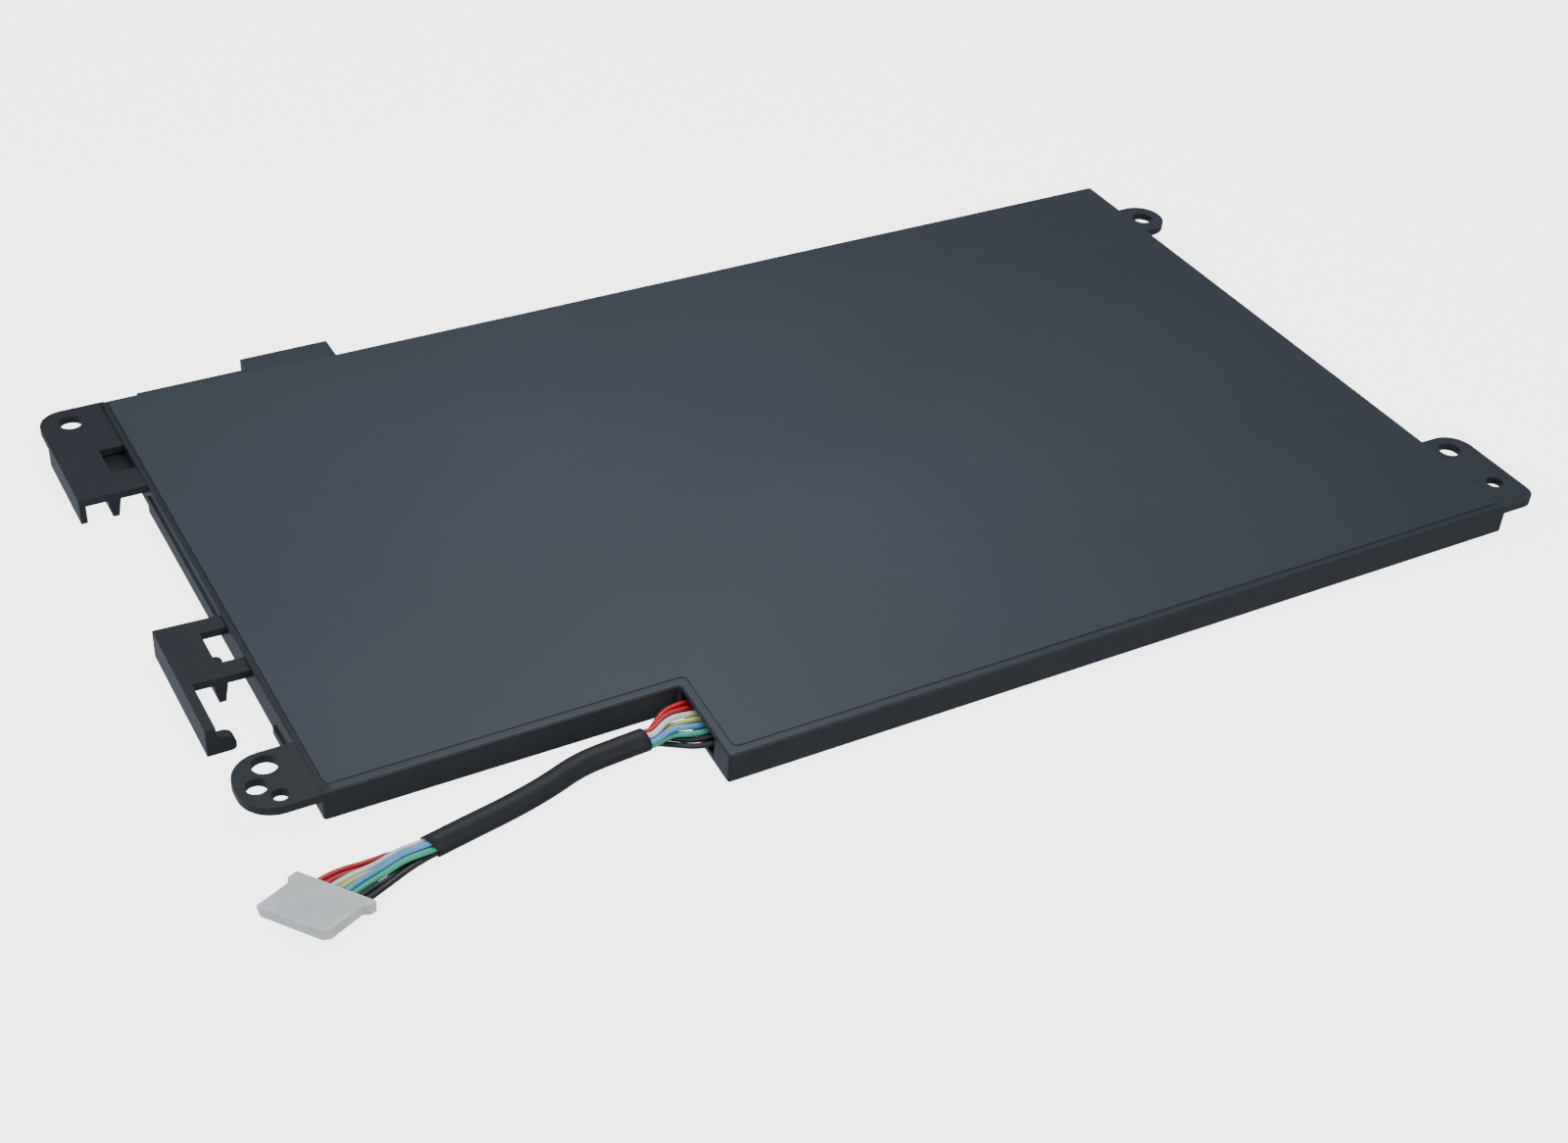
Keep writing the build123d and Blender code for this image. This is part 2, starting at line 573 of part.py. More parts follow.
with BuildPart(PACK) as weld_pads:
    for index in range(CELL_COUNT):
        for step in range(2):
            pad_middle = cell_tab_middle(index, step)
            slab(
                (pad_middle - CELL_TAB_WIDTH / 2, pad_middle + CELL_TAB_WIDTH / 2),
                (PAD_FRONT, BOARD_BACK),
                (BOARD_TOP, TAB_BOTTOM),
            )
save(weld_pads, "weld_pads")


def board_chips(name, size, start, line, count=1, pitch=0.0):
    """Writes one node with a row of like parts that stand on the board."""
    length, depth, height = size
    with BuildPart(PACK) as chips:
        for place in range(count):
            middle = BOARD_LEFT + start + place * pitch
            slab(
                (middle - length / 2, middle + length / 2),
                (line - depth / 2, line + depth / 2),
                (BOARD_TOP, BOARD_TOP + height),
            )
    save(chips, name)


board_chips("gauge_chip", GAUGE_CHIP, GAUGE_CHIP_X, CHIP_LINE)
board_chips("switch_transistors", TRANSISTOR, TRANSISTOR_X, CHIP_LINE, TRANSISTOR_COUNT, TRANSISTOR_PITCH)
board_chips("sense_resistor", SENSE_RESISTOR, SENSE_RESISTOR_X, CHIP_LINE)
board_chips("chip_fuse", FUSE, FUSE_X, CHIP_LINE)
board_chips("thermistor", THERMISTOR, THERMISTOR_X, RESISTOR_LINE)
board_chips("ceramic_capacitors", CAPACITOR, CAPACITOR_X, CAPACITOR_LINE, CAPACITOR_COUNT, SMALL_PITCH)
board_chips("chip_resistors", RESISTOR, RESISTOR_X, RESISTOR_LINE, RESISTOR_COUNT, SMALL_PITCH)

with BuildPart(PACK) as insulator:
    slab(
        (BAY_LEFT + INSULATOR_MARGIN, BODY_LENGTH - WALL - INSULATOR_MARGIN),
        (FRONT_WALL + INSULATOR_MARGIN, BOARD_BACK),
        (FRAME_TOP - INSULATOR, FRAME_TOP),
    )
save(insulator, "board_insulator")


def plug_point(across, back):
    """Point at the level of the plug's wires, counted from its back face, in the pack's positions."""
    point = Vector(*PLUG_BACK) + PLUG_ACROSS * across - PLUG_AXIS * back + PLUG_UP * PLUG_ROW_LEVEL
    return point.X, point.Y, point.Z


def row_lay(pitch):
    """Wires side by side, from the back one to the front one."""
    return {name: ((place - WIRE_MIDDLE) * pitch, 0.0) for place, name in enumerate(WIRE_NAMES)}


def ring_lay():
    """Wires in a ring, round the one that isn't named in it."""
    lay = {name: (0.0, 0.0) for name in WIRE_NAMES}
    for place, name in enumerate(RING_NAMES):
        angle = radians(RING_START - place * 360 / len(RING_NAMES))
        lay[name] = (RING_RADIUS * cos(angle), RING_RADIUS * sin(angle))
    return lay


# Each station of the lead's route is a point of its middle line, counted from the left and front walls,
# its level, and how the wires lie round that point.
BOARD_ROW = row_lay(BOARD_ROW_PITCH)
PLUG_ROW = row_lay(PLUG_ROW_PITCH)
RING = ring_lay()
STATIONS = [
    (BAY_LEFT + STRIPPED_REACH, ROW_MIDDLE, ROW_LEVEL, BOARD_ROW),
    (55.9, ROW_MIDDLE, ROW_LEVEL, BOARD_ROW),
    (53.2, 11.0, 2.35, BOARD_FAN),
    (47.9, 11.5, SLEEVE_LEVEL, RING),
    (46.2, 11.65, SLEEVE_LEVEL, RING),
    (41.5, 11.35, SLEEVE_LEVEL, RING),
    (35.5, 10.75, SLEEVE_LEVEL, RING),
    (29.5, 8.45, SLEEVE_LEVEL, RING),
    (23.0, 6.75, SLEEVE_LEVEL, RING),
    (16.5, 5.5, SLEEVE_LEVEL, RING),
    (11.0, 4.35, SLEEVE_LEVEL, RING),
    (8.7, 3.9, SLEEVE_LEVEL, RING),
    (3.4, 3.3, 1.75, PLUG_FAN),
    (*plug_point(PLUG_ROW_OFFSET, PLUG_APPROACH), PLUG_ROW),
    (*plug_point(PLUG_ROW_OFFSET, -PLUG_BORE_DEPTH), PLUG_ROW),
]


def across_lead(station):
    """Direction to the left of the lead at a station: square to the board's row, or along the plug's."""
    if STATIONS[station][3] is PLUG_ROW:
        return PLUG_ACROSS
    before, after = station - 1, station + 1
    if STATIONS[station][3] is BOARD_ROW:
        before, after = 0, 1
    run = Vector(*STATIONS[after][:2]) - Vector(*STATIONS[before][:2])
    return Vector(-run.Y, run.X).normalized()


def wire_points(name):
    """Points of one wire's route."""
    points = []
    for station, (x, y, level, lay) in enumerate(STATIONS):
        left, up = lay[name]
        points.append(PACK.from_local_coords(Vector(x, y, level + up) + across_lead(station) * left))
    return points


def sleeve_points():
    """Points of the sleeve's route: the stations of the ring without its first and last."""
    ring = [PACK.from_local_coords(station[:3]) for station in STATIONS if station[3] is RING]
    return ring[1:-1]


def bend_radii(points):
    """Largest arc that the two runs at each corner allow."""
    radii = []
    for before, corner, after in zip(points, points[1:], points[2:]):
        arriving = corner - before
        leaving = after - corner
        half_turn = radians(arriving.get_angle(leaving)) / 2
        radii.append(BEND_SHARE * min(arriving.length, leaving.length) / tan(half_turn))
    return radii


def report_tube(name, radii, length, area, volume):
    """Prints a tube's arcs, its length, and its volume against section times length."""
    bends = ", ".join(f"{radius:.1f}" for radius in radii)
    print(f"{name}: length {length:.1f}, volume ratio {volume / (area * length):.4f}, radii {bends}")


for wire_name in WIRE_NAMES:
    wire_route = wire_points(wire_name)
    wire_radii = bend_radii(wire_route)
    with BuildPart() as wire:
        with BuildLine() as wire_line:
            FilletPolyline(*wire_route, radius=wire_radii)
        with BuildSketch(Plane(origin=wire_line.line @ 0, z_dir=wire_line.line % 0)) as wire_section:
            Circle(WIRE_DIAMETER / 2)
        sweep()
    report_tube(wire_name, wire_radii, wire_line.wire().length, wire_section.sketch.area, wire.part.volume)
    save(wire, f"wire_{wire_name}")

sleeve_route = sleeve_points()
sleeve_radii = bend_radii(sleeve_route)
with BuildPart() as sleeve:
    with BuildLine() as sleeve_line:
        FilletPolyline(*sleeve_route, radius=sleeve_radii)
    with BuildSketch(Plane(origin=sleeve_line.line @ 0, z_dir=sleeve_line.line % 0)) as sleeve_section:
        Circle(SLEEVE_DIAMETER / 2)
        Circle(SLEEVE_INNER_DIAMETER / 2, mode=Mode.SUBTRACT)
    sweep()
sleeve_length = sleeve_line.wire().length
report_tube("sleeve", sleeve_radii, sleeve_length, sleeve_section.sketch.area, sleeve.part.volume)
save(sleeve, "cable_sleeve")

with BuildPart(PACK) as solder:
    for place in range(WIRE_COUNT):
        joint_middle = ROW_MIDDLE - (place - WIRE_MIDDLE) * BOARD_ROW_PITCH
        slab(
            (BAY_LEFT + STRIPPED_REACH, BAY_LEFT + STRIPPED_REACH + SOLDER_LENGTH),
            (joint_middle - SOLDER_WIDTH / 2, joint_middle + SOLDER_WIDTH / 2),
            (BOARD_TOP, BOARD_TOP + SOLDER_HEIGHT),
        )
save(solder, "solder_joints")

# Plug: a flanged body whose left side leans in below, with a bore for each wire and a window in its
# underside for each contact
plug_half = PLUG_WIDTH / 2
flange_half = plug_half + PLUG_FLANGE_REACH
plug_rows = [PLUG_ROW_OFFSET + (place - WIRE_MIDDLE) * PLUG_ROW_PITCH for place in range(WIRE_COUNT)]
bore_radius = WIRE_DIAMETER / 2 + PLUG_CLEARANCE
window_half = TERMINAL_SIZE / 2 + PLUG_CLEARANCE
terminal_end = -PLUG_BORE_DEPTH - TERMINAL_LENGTH
terminal_top = PLUG_ROW_LEVEL + TERMINAL_SIZE / 2
with BuildPart(PLUG) as plug:
    with BuildSketch(PLUG):
        with BuildLine():
            Polyline(
                (-flange_half, 0),
                (flange_half, 0),
                (flange_half, PLUG_CHAMFER - PLUG_FLANGE_LENGTH),
                (flange_half - PLUG_CHAMFER, -PLUG_FLANGE_LENGTH),
                (plug_half, -PLUG_FLANGE_LENGTH),
                (plug_half, PLUG_CHAMFER - PLUG_LENGTH),
                (plug_half - PLUG_CHAMFER, -PLUG_LENGTH),
                (-plug_half, -PLUG_LENGTH),
                (-plug_half, -PLUG_FLANGE_LENGTH),
                (-flange_half, -PLUG_FLANGE_LENGTH),
                close=True,
            )
        make_face()
    extrude(amount=PLUG_HEIGHT)
    fillet(plug.faces().sort_by(Axis(PLUG.origin, PLUG_UP))[-1].edges(), radius=PLUG_EDGE)
    with BuildSketch(PLUG_STEP):
        with BuildLine():
            Polyline(
                (-plug_half, 0),
                (PLUG_LEAN - plug_half, 0),
                (-plug_half, PLUG_HEIGHT - 2 * PLUG_EDGE),
                close=True,
            )
        make_face()
    extrude(amount=PLUG_LENGTH - PLUG_FLANGE_LENGTH, mode=Mode.SUBTRACT)
    for row in plug_rows:
        with Locations((row, -PLUG_BORE_DEPTH / 2, PLUG_ROW_LEVEL)):
            Cylinder(bore_radius, PLUG_BORE_DEPTH, rotation=(90, 0, 0), mode=Mode.SUBTRACT)
        slab(
            (row - window_half, row + window_half),
            (terminal_end - PLUG_CLEARANCE, -PLUG_BORE_DEPTH),
            (0, terminal_top + PLUG_CLEARANCE),
            mode=Mode.SUBTRACT,
        )
save(plug, "connector_housing")

with BuildPart(PLUG) as terminals:
    for row in plug_rows:
        slab(
            (row - TERMINAL_SIZE / 2, row + TERMINAL_SIZE / 2),
            (terminal_end, -PLUG_BORE_DEPTH),
            (TERMINAL_LIFT, terminal_top),
        )
save(terminals, "connector_terminals")
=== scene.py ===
"""Flat laptop battery in a plain studio: films, frame, sleeved lead and plug, dressed over the CAD."""

import logging
import math
from collections.abc import Mapping, Sequence
from dataclasses import dataclass, replace
from enum import Enum
from typing import Any, Protocol

import bmesh
import bpy
from mathutils import Matrix, Vector


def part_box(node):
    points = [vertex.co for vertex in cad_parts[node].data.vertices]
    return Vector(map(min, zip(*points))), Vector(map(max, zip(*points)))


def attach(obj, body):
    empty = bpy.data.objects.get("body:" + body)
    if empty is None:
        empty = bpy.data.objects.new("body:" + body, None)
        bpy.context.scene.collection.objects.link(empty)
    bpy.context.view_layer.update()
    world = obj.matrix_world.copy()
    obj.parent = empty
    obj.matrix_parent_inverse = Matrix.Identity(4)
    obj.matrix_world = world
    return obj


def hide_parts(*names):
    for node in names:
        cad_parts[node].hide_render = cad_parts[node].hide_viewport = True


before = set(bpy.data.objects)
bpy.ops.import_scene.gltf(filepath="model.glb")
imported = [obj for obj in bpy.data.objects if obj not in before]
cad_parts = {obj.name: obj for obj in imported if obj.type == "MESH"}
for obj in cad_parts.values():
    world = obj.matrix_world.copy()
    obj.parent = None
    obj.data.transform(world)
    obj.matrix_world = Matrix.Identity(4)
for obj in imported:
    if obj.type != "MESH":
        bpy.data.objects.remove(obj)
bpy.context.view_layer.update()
MM = 0.001
BODY = "root"
LOG = logging.getLogger("battery")

# The left wall's outer face is this far inside the frame's box; the front wall's is on the box
LEFT_REACH = 11.0

# The pack inside its walls' outer faces, and the height of its upper film
BODY_LENGTH = 201.4
BODY_DEPTH = 121.9
FILM_TOP = 5.4

# The plug lies a little tilted: the direction of its row of wires, and where the lead's middle line enters it
PLUG_ACROSS = (0.521836, -0.843758, 0.125535)
PLUG_STATIONS = ((-1.2765, 2.7657, 1.4195), (-5.5284, 0.2512, 2.1931))

# Steps between two control points of a wire's line, and round a quarter of its section
LINE_STEPS = 10
SECTION_STEPS = 5

Colour = tuple[float, float, float]
Point = tuple[float, float, float]
WHITE: Colour = (1.0, 1.0, 1.0)
UNIT: Point = (1.0, 1.0, 1.0)
UNTURNED: Point = (0.0, 0.0, 0.0)


def pack_point(x: float, y: float, z: float) -> Vector:
    """Turns a place counted from the left and front walls into metres in the shared frame.

    Args:
        x: Millimetres to the right of the left wall.
        y: Millimetres behind the front wall.
        z: Millimetres above the surface that the pack lies on.

    Returns:
        The point in metres.
    """
    low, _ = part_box("frame")
    return Vector((low[0] + (x + LEFT_REACH) * MM, low[1] + y * MM, z * MM))


class Value:
    """A number in a node tree. Arithmetic on it adds Math nodes."""

    def __init__(self, tree: "NodeTree", socket: bpy.types.NodeSocket) -> None:
        """Keeps the socket that carries the number."""
        self.tree = tree
        self.socket = socket

    def _math(self, operation: str, first: Any, second: Any) -> "Value":
        """Adds one Math node and returns its result."""
        node = self.tree.node("ShaderNodeMath", {"operation": operation}, {0: first, 1: second})
        return Value(self.tree, node.outputs[0])

    def __add__(self, other: "Value | float") -> "Value":
        """Sum."""
        return self._math("ADD", self, other)

    __radd__ = __add__

    def __sub__(self, other: "Value | float") -> "Value":
        """Difference."""
        return self._math("SUBTRACT", self, other)

    def __rsub__(self, other: float) -> "Value":
        """Difference from a plain number."""
        return self._math("SUBTRACT", other, self)

    def __mul__(self, other: "Value | float") -> "Value":
        """Product."""
        return self._math("MULTIPLY", self, other)

    __rmul__ = __mul__

    def __pow__(self, other: float) -> "Value":
        """Power."""
        return self._math("POWER", self, other)

    def band(self, low: float, high: float) -> "Value":
        """Smooth step of the number, 0 up to low and 1 from high on."""
        node = self.tree.node(
            "ShaderNodeMapRange",
            {"interpolation_type": "SMOOTHSTEP"},
            {"Value": self, "From Min": low, "From Max": high},
        )
        return Value(self.tree, node.outputs["Result"])


class NodeTree:
    """A tree of nodes, with one method that makes and links them."""

    def __init__(self, tree: bpy.types.NodeTree) -> None:
        """Empties the tree."""
        self.nodes = tree.nodes
        self.links = tree.links
        self.nodes.clear()

    def node(
        self,
        kind: str,
        settings: Mapping[str, Any] | None = None,
        inputs: Mapping[str | int, Any] | None = None,
    ) -> bpy.types.Node:
        """Adds a node.

        Args:
            kind: The node's type.
            settings: Its own settings.
            inputs: A value, a socket or a Value for each named or numbered input.

        Returns:
            The new node.
        """
        node = self.nodes.new(kind)
        for name, setting in (settings or {}).items():
            setattr(node, name, setting)
        for name, given in (inputs or {}).items():
            self.feed(node.inputs[name], given)
        return node

    def feed(self, socket: bpy.types.NodeSocket, given: Any) -> None:
        """Sets an input to a constant, or links it.

        Args:
            socket: The input.
            given: A number, a colour, a socket or a Value.
        """
        if isinstance(given, Value):
            given = given.socket
        if isinstance(given, bpy.types.NodeSocket):
            self.links.new(given, socket)
        elif isinstance(given, tuple) and len(given) == 3 and socket.type == "RGBA":
            socket.default_value = (*given, 1.0)
        else:
            socket.default_value = given


class ShaderTree(NodeTree):
    """The node tree of one material, with a Principled shader at its end."""

    def __init__(self, name: str) -> None:
        """Makes an empty material with its shader and output."""
        self.material = bpy.data.materials.new(name)
        self.material.use_nodes = True
        super().__init__(self.material.node_tree)
        self.shader = self.node("ShaderNodeBsdfPrincipled")
        self.node("ShaderNodeOutputMaterial", inputs={"Surface": self.shader.outputs["BSDF"]})

    def place(self, scale: Point = UNIT, turn: Point = UNTURNED) -> bpy.types.NodeSocket:
        """Object coordinates, scaled along each axis and turned about it by degrees."""
        coordinates = self.node("ShaderNodeTexCoord")
        mapping = self.node(
            "ShaderNodeMapping",
            inputs={
                "Vector": coordinates.outputs["Object"],
                "Scale": scale,
                "Rotation": tuple(math.radians(angle) for angle in turn),
            },
        )
        return mapping.outputs["Vector"]

    def axis(self, name: str, output: str = "Object") -> Value:
        """The "X", "Y" or "Z" part of the place in metres, or with "Normal" of the way the surface looks."""
        coordinates = self.node("ShaderNodeTexCoord")
        split = self.node("ShaderNodeSeparateXYZ", inputs={"Vector": coordinates.outputs[output]})
        return Value(self, split.outputs[name])

    def noise(
        self, size: float, detail: float = 2.0, stretch: Point = UNIT, turn: Point = UNTURNED
    ) -> Value:
        """Cloudy noise.

        Args:
            size: Width of its blotches in millimetres.
            detail: Octaves.
            stretch: Factor along each axis, smaller for longer blotches.
            turn: Turn about each axis in degrees.

        Returns:
            A number from 0 to 1.
        """
        node = self.node(
            "ShaderNodeTexNoise",
            inputs={"Vector": self.place(stretch, turn), "Scale": 1.0 / (size * MM), "Detail": detail},
        )
        return Value(self, node.outputs["Fac"])

    def specks(self, spacing: float, radius: float) -> Value:
        """Scattered round specks, 1 on a speck: spacing in millimetres, radius as a share of it."""
        node = self.node(
            "ShaderNodeTexVoronoi",
            inputs={"Vector": self.place(), "Scale": 1.0 / (spacing * MM), "Randomness": 1.0},
        )
        return 1.0 - Value(self, node.outputs["Distance"]).band(radius * 0.5, radius)

    def blend(self, factor: Value, low: Any, high: Any) -> bpy.types.NodeSocket:
        """Mixes two colours or colour sockets, all low at a factor of 0 and all high at 1."""
        node = self.node(
            "ShaderNodeMix",
            {"data_type": "RGBA", "clamp_factor": True},
            {0: factor, 6: low, 7: high},
        )
        return node.outputs[2]

    def bump(self, height: Value, depth: float, strength: float = 1.0) -> None:
        """Feeds the shader's normal from a height.

        Args:
            height: The height, 0 to 1.
            depth: What a height of 1 stands for, in millimetres.
            strength: Share of the effect.
        """
        node = self.node(
            "ShaderNodeBump", inputs={"Height": height, "Distance": depth * MM, "Strength": strength}
        )
        self.feed(self.shader.inputs["Normal"], node.outputs["Normal"])

    def finish(self, **sockets: Any) -> bpy.types.Material:
        """Feeds the shader and hands the material over.

        Args:
            **sockets: Inputs of the Principled shader, with _ for a space.

        Returns:
            The material.
        """
        for name, given in sockets.items():
            self.feed(self.shader.inputs[name.replace("_", " ")], given)
        return self.material


def link_object(name: str, data: bpy.types.ID) -> bpy.types.Object:
    """Makes an object from its data and links it to the scene."""
    made = bpy.data.objects.new(name, data)
    bpy.context.scene.collection.objects.link(made)
    return made


def smooth_mesh(name: str, shape: bmesh.types.BMesh) -> bpy.types.Mesh:
    """Turns a finished shape into a smooth-shaded mesh and frees it."""
    mesh = bpy.data.meshes.new(name)
    shape.to_mesh(mesh)
    shape.free()
    for face in mesh.polygons:
        face.use_smooth = True
    return mesh


def plain_mesh(helper: bpy.types.Object) -> bpy.types.Mesh:
    """Reads the evaluated shape of a helper object and removes the helper.

    Args:
        helper: An object with its modifiers still live, or a curve.

    Returns:
        A mesh with nothing live on it.
    """
    graph = bpy.context.evaluated_depsgraph_get()
    mesh = bpy.data.meshes.new_from_object(helper.evaluated_get(graph))
    helper.modifiers.clear()
    bpy.data.objects.remove(helper)
    return mesh


class ShapeTree(NodeTree):
    """A Geometry Nodes tree with named inputs."""

    KINDS = {
        int: "NodeSocketInt",
        float: "NodeSocketFloat",
        Vector: "NodeSocketVector",
        bpy.types.Material: "NodeSocketMaterial",
    }

    def __init__(self, name: str, **given: Any) -> None:
        """Makes a tree whose inputs are the given names and values."""
        self.group = bpy.data.node_groups.new(name, "GeometryNodeTree")
        super().__init__(self.group)
        self.given = given
        sockets = self.group.interface
        sockets.new_socket("Geometry", in_out="OUTPUT", socket_type="NodeSocketGeometry")
        sockets.new_socket("Geometry", in_out="INPUT", socket_type="NodeSocketGeometry")
        for label, value in given.items():
            sockets.new_socket(label, in_out="INPUT", socket_type=self.KINDS[type(value)])
        self.entry = self.node("NodeGroupInput")

    def input(self, label: str) -> Value:
        """One of the tree's named inputs."""
        return Value(self, self.entry.outputs[label])

    def end(self, geometry: bpy.types.NodeSocket, finish: str) -> None:
        """Realizes the instances and gives the shape the material held by the input called finish."""
        realized = self.node("GeometryNodeRealizeInstances", inputs={"Geometry": geometry})
        dressed = self.node(
            "GeometryNodeSetMaterial",
            inputs={"Geometry": realized.outputs["Geometry"], "Material": self.input(finish)},
        )
        self.node("NodeGroupOutput", inputs={"Geometry": dressed.outputs["Geometry"]})

    def mesh(self, name: str, start: bpy.types.Mesh) -> bpy.types.Mesh:
        """Runs the tree.

        Args:
            name: Name of the result.
            start: Mesh that goes in.

        Returns:
            A plain mesh.
        """
        helper = link_object(f"{name}_helper", start)
        modifier = helper.modifiers.new("shape", "NODES")
        modifier.node_group = self.group
        for item in self.group.interface.items_tree:
            if item.in_out == "INPUT" and item.name in self.given:
                modifier[item.identifier] = self.given[item.name]
        mesh = plain_mesh(helper)
        mesh.name = name
        return mesh


@dataclass(frozen=True)
class MouldedPlastic:
    """Fine-grained moulded plastic with flow clouds, its top band round the film painted paler on upward
    faces as painted light from above, and wear patches that at a high share stand for painted highlights on
    edges.
    """

    name: str
    colour: Colour
    light: Colour
    rim: Colour
    rub: Colour
    rim_level: float
    rub_share: float
    roughness: float = 0.5
    cloud_size: float = 14.0
    patch_size: float = 1.6
    grain_size: float = 0.22
    rim_start: tuple[float, float] = (1.0, 1.8)
    rim_drop: tuple[float, float] = (0.06, 0.02)

    def material(self) -> bpy.types.Material:
        """Builds the material."""
        tree = ShaderTree(self.name)
        clouds = tree.noise(self.cloud_size, 3.0)
        patches = tree.noise(self.patch_size, 3.0)
        grain = tree.noise(self.grain_size)
        below, at_rim = ((self.rim_level - drop) * MM for drop in self.rim_drop)
        outside, inside = (pack_point(place, 0.0, 0.0).x for place in self.rim_start)
        # Painted light: upward faces at the height of the frame's top band are painted paler than the walls,
        # as if lit from above.
        rim = tree.axis("Z", "Normal").band(0.8, 0.98) * tree.axis("Z").band(below, at_rim)
        rim = rim * tree.axis("X").band(outside, inside)
        # Wear patches: real wear at a low share; at a high share, on the rounded edges, they are painted
        # highlights.
        rubbed_and_highlit = self.rub_share * patches.band(0.42, 0.7)
        body = tree.blend(clouds.band(0.35, 0.75), self.colour, self.light)
        with_painted_rim_light = tree.blend(rim, body, self.rim)
        worn_and_highlit = tree.blend(rubbed_and_highlit, with_painted_rim_light, self.rub)
        tree.bump(grain + patches * 0.3, 0.02, 0.5)
        return tree.finish(
            Base_Color=worn_and_highlit,
            Roughness=self.roughness + 0.1 * clouds - 0.1 * rubbed_and_highlit,
            Specular_IOR_Level=0.4,
        )


@dataclass(frozen=True)
class SatinFilm:
    """Thin satin film, drawn along its length, with dust specks and faint scuffs."""

    name: str
    colour: Colour
    light: Colour
    roughness: float = 0.5
    cloud_size: float = 45.0
    streak_size: float = 1.2
    mottle_size: float = 2.4
    speck_spacing: float = 16.0
    scratch_size: float = 0.7
    scratch_turn: float = 28.0
    scuff_size: float = 38.0
    scuff: Colour = (0.09, 0.10, 0.115)
    scuff_share: float = 0.13
    dust: Colour = (0.35, 0.36, 0.36)
    dust_share: float = 0.5

    def material(self) -> bpy.types.Material:
        """Builds the material."""
        tree = ShaderTree(self.name)
        clouds = tree.noise(self.cloud_size, 3.0)
        streaks = tree.noise(self.streak_size, stretch=(0.06, 1.0, 1.0))
        mottle = tree.noise(self.mottle_size, 3.0)
        specks = tree.specks(self.speck_spacing, 0.012) * mottle.band(0.45, 0.6)
        tone = 0.6 * clouds.band(0.3, 0.7) + 0.2 * streaks + 0.2 * mottle
        colour = tree.blend(tone, self.colour, self.light)
        lines = tree.noise(self.scratch_size, stretch=(0.05, 1.0, 1.0), turn=(0.0, 0.0, self.scratch_turn))
        scuffs = lines.band(0.66, 0.74) * tree.noise(self.scuff_size).band(0.5, 0.62)
        scuffed = tree.blend(scuffs * self.scuff_share, colour, self.scuff)
        dusty = tree.blend(specks * self.dust_share, scuffed, self.dust)
        tree.bump(tree.noise(0.35) + streaks * 0.5, 0.01, 0.4)
        return tree.finish(
            Base_Color=dusty,
            Roughness=self.roughness + 0.06 * streaks + 0.08 * clouds,
            Specular_IOR_Level=0.35,
        )


@dataclass(frozen=True)
class Coat:
    """Lacquer, glaze or moulded resin with soft clouds and a fine grain."""

    name: str
    colour: Colour
    light: Colour
    roughness: float = 0.3
    cloud_size: float = 1.5
    grain_size: float = 0.2
    grain_depth: float = 0.01

    def material(self) -> bpy.types.Material:
        """Builds the material."""
        tree = ShaderTree(self.name)
        clouds = tree.noise(self.cloud_size)
        tree.bump(tree.noise(self.grain_size), self.grain_depth, 0.3)
        colour = tree.blend(clouds.band(0.3, 0.7), self.colour, self.light)
        return tree.finish(Base_Color=colour, Roughness=self.roughness + 0.1 * clouds, **self.constants())

    def constants(self) -> dict[str, Any]:
        """Further inputs of the shader, the same all over."""
        return {}


@dataclass(frozen=True)
class Insulation(Coat):
    """Satin wire insulation."""

    roughness: float = 0.34
    cloud_size: float = 2.5


@dataclass(frozen=True)
class NaturalNylon(Coat):
    """Unfilled nylon that light soaks into."""

    roughness: float = 0.35
    cloud_size: float = 2.0
    grain_size: float = 0.3
    grain_depth: float = 0.015
    soak: float = 1.0

    def constants(self) -> dict[str, Any]:
        """How deep light soaks in."""
        return {"Subsurface_Weight": 0.6, "Subsurface_Radius": UNIT, "Subsurface_Scale": self.soak * MM}


@dataclass(frozen=True)
class Tubing:
    """Matt tubing with a soft bloom."""

    name: str
    colour: Colour
    light: Colour
    cloud_size: float = 3.0
    grain_size: float = 0.3

    def material(self) -> bpy.types.Material:
        """Builds the material."""
        tree = ShaderTree(self.name)
        clouds = tree.noise(self.cloud_size, 3.0)
        tree.bump(tree.noise(self.grain_size, 3.0) + clouds, 0.03, 0.5)
        colour = tree.blend(clouds.band(0.35, 0.75), self.colour, self.light)
        return tree.finish(Base_Color=colour, Roughness=0.5 + 0.15 * clouds, Specular_IOR_Level=0.32)


@dataclass(frozen=True)
class BareMetal:
    """Bare or plated metal with fine drawing lines."""

    name: str
    colour: Colour
    light: Colour
    roughness: float = 0.3
    line_size: float = 0.4

    def material(self) -> bpy.types.Material:
        """Builds the material."""
        tree = ShaderTree(self.name)
        lines = tree.noise(self.line_size, stretch=(0.08, 1.0, 1.0))
        tree.bump(lines, 0.01, 0.3)
        colour = tree.blend(lines.band(0.3, 0.7), self.colour, self.light)
        return tree.finish(Base_Color=colour, Metallic=1.0, Roughness=self.roughness + 0.15 * lines)


FRAME_PLASTIC = MouldedPlastic(
    "frame_plastic",
    colour=(0.0118, 0.0140, 0.0185),
    light=(0.0142, 0.0168, 0.0220),
    # Painted light: the paler tone of the top band's upward faces, as if lit from above.
    rim=(0.0265, 0.0310, 0.0405),
    # Wear tone, also the colour of the painted highlights on rounded edges.
    rub=(0.10, 0.115, 0.13),
    rim_level=5.2,
    rub_share=0.03,
)
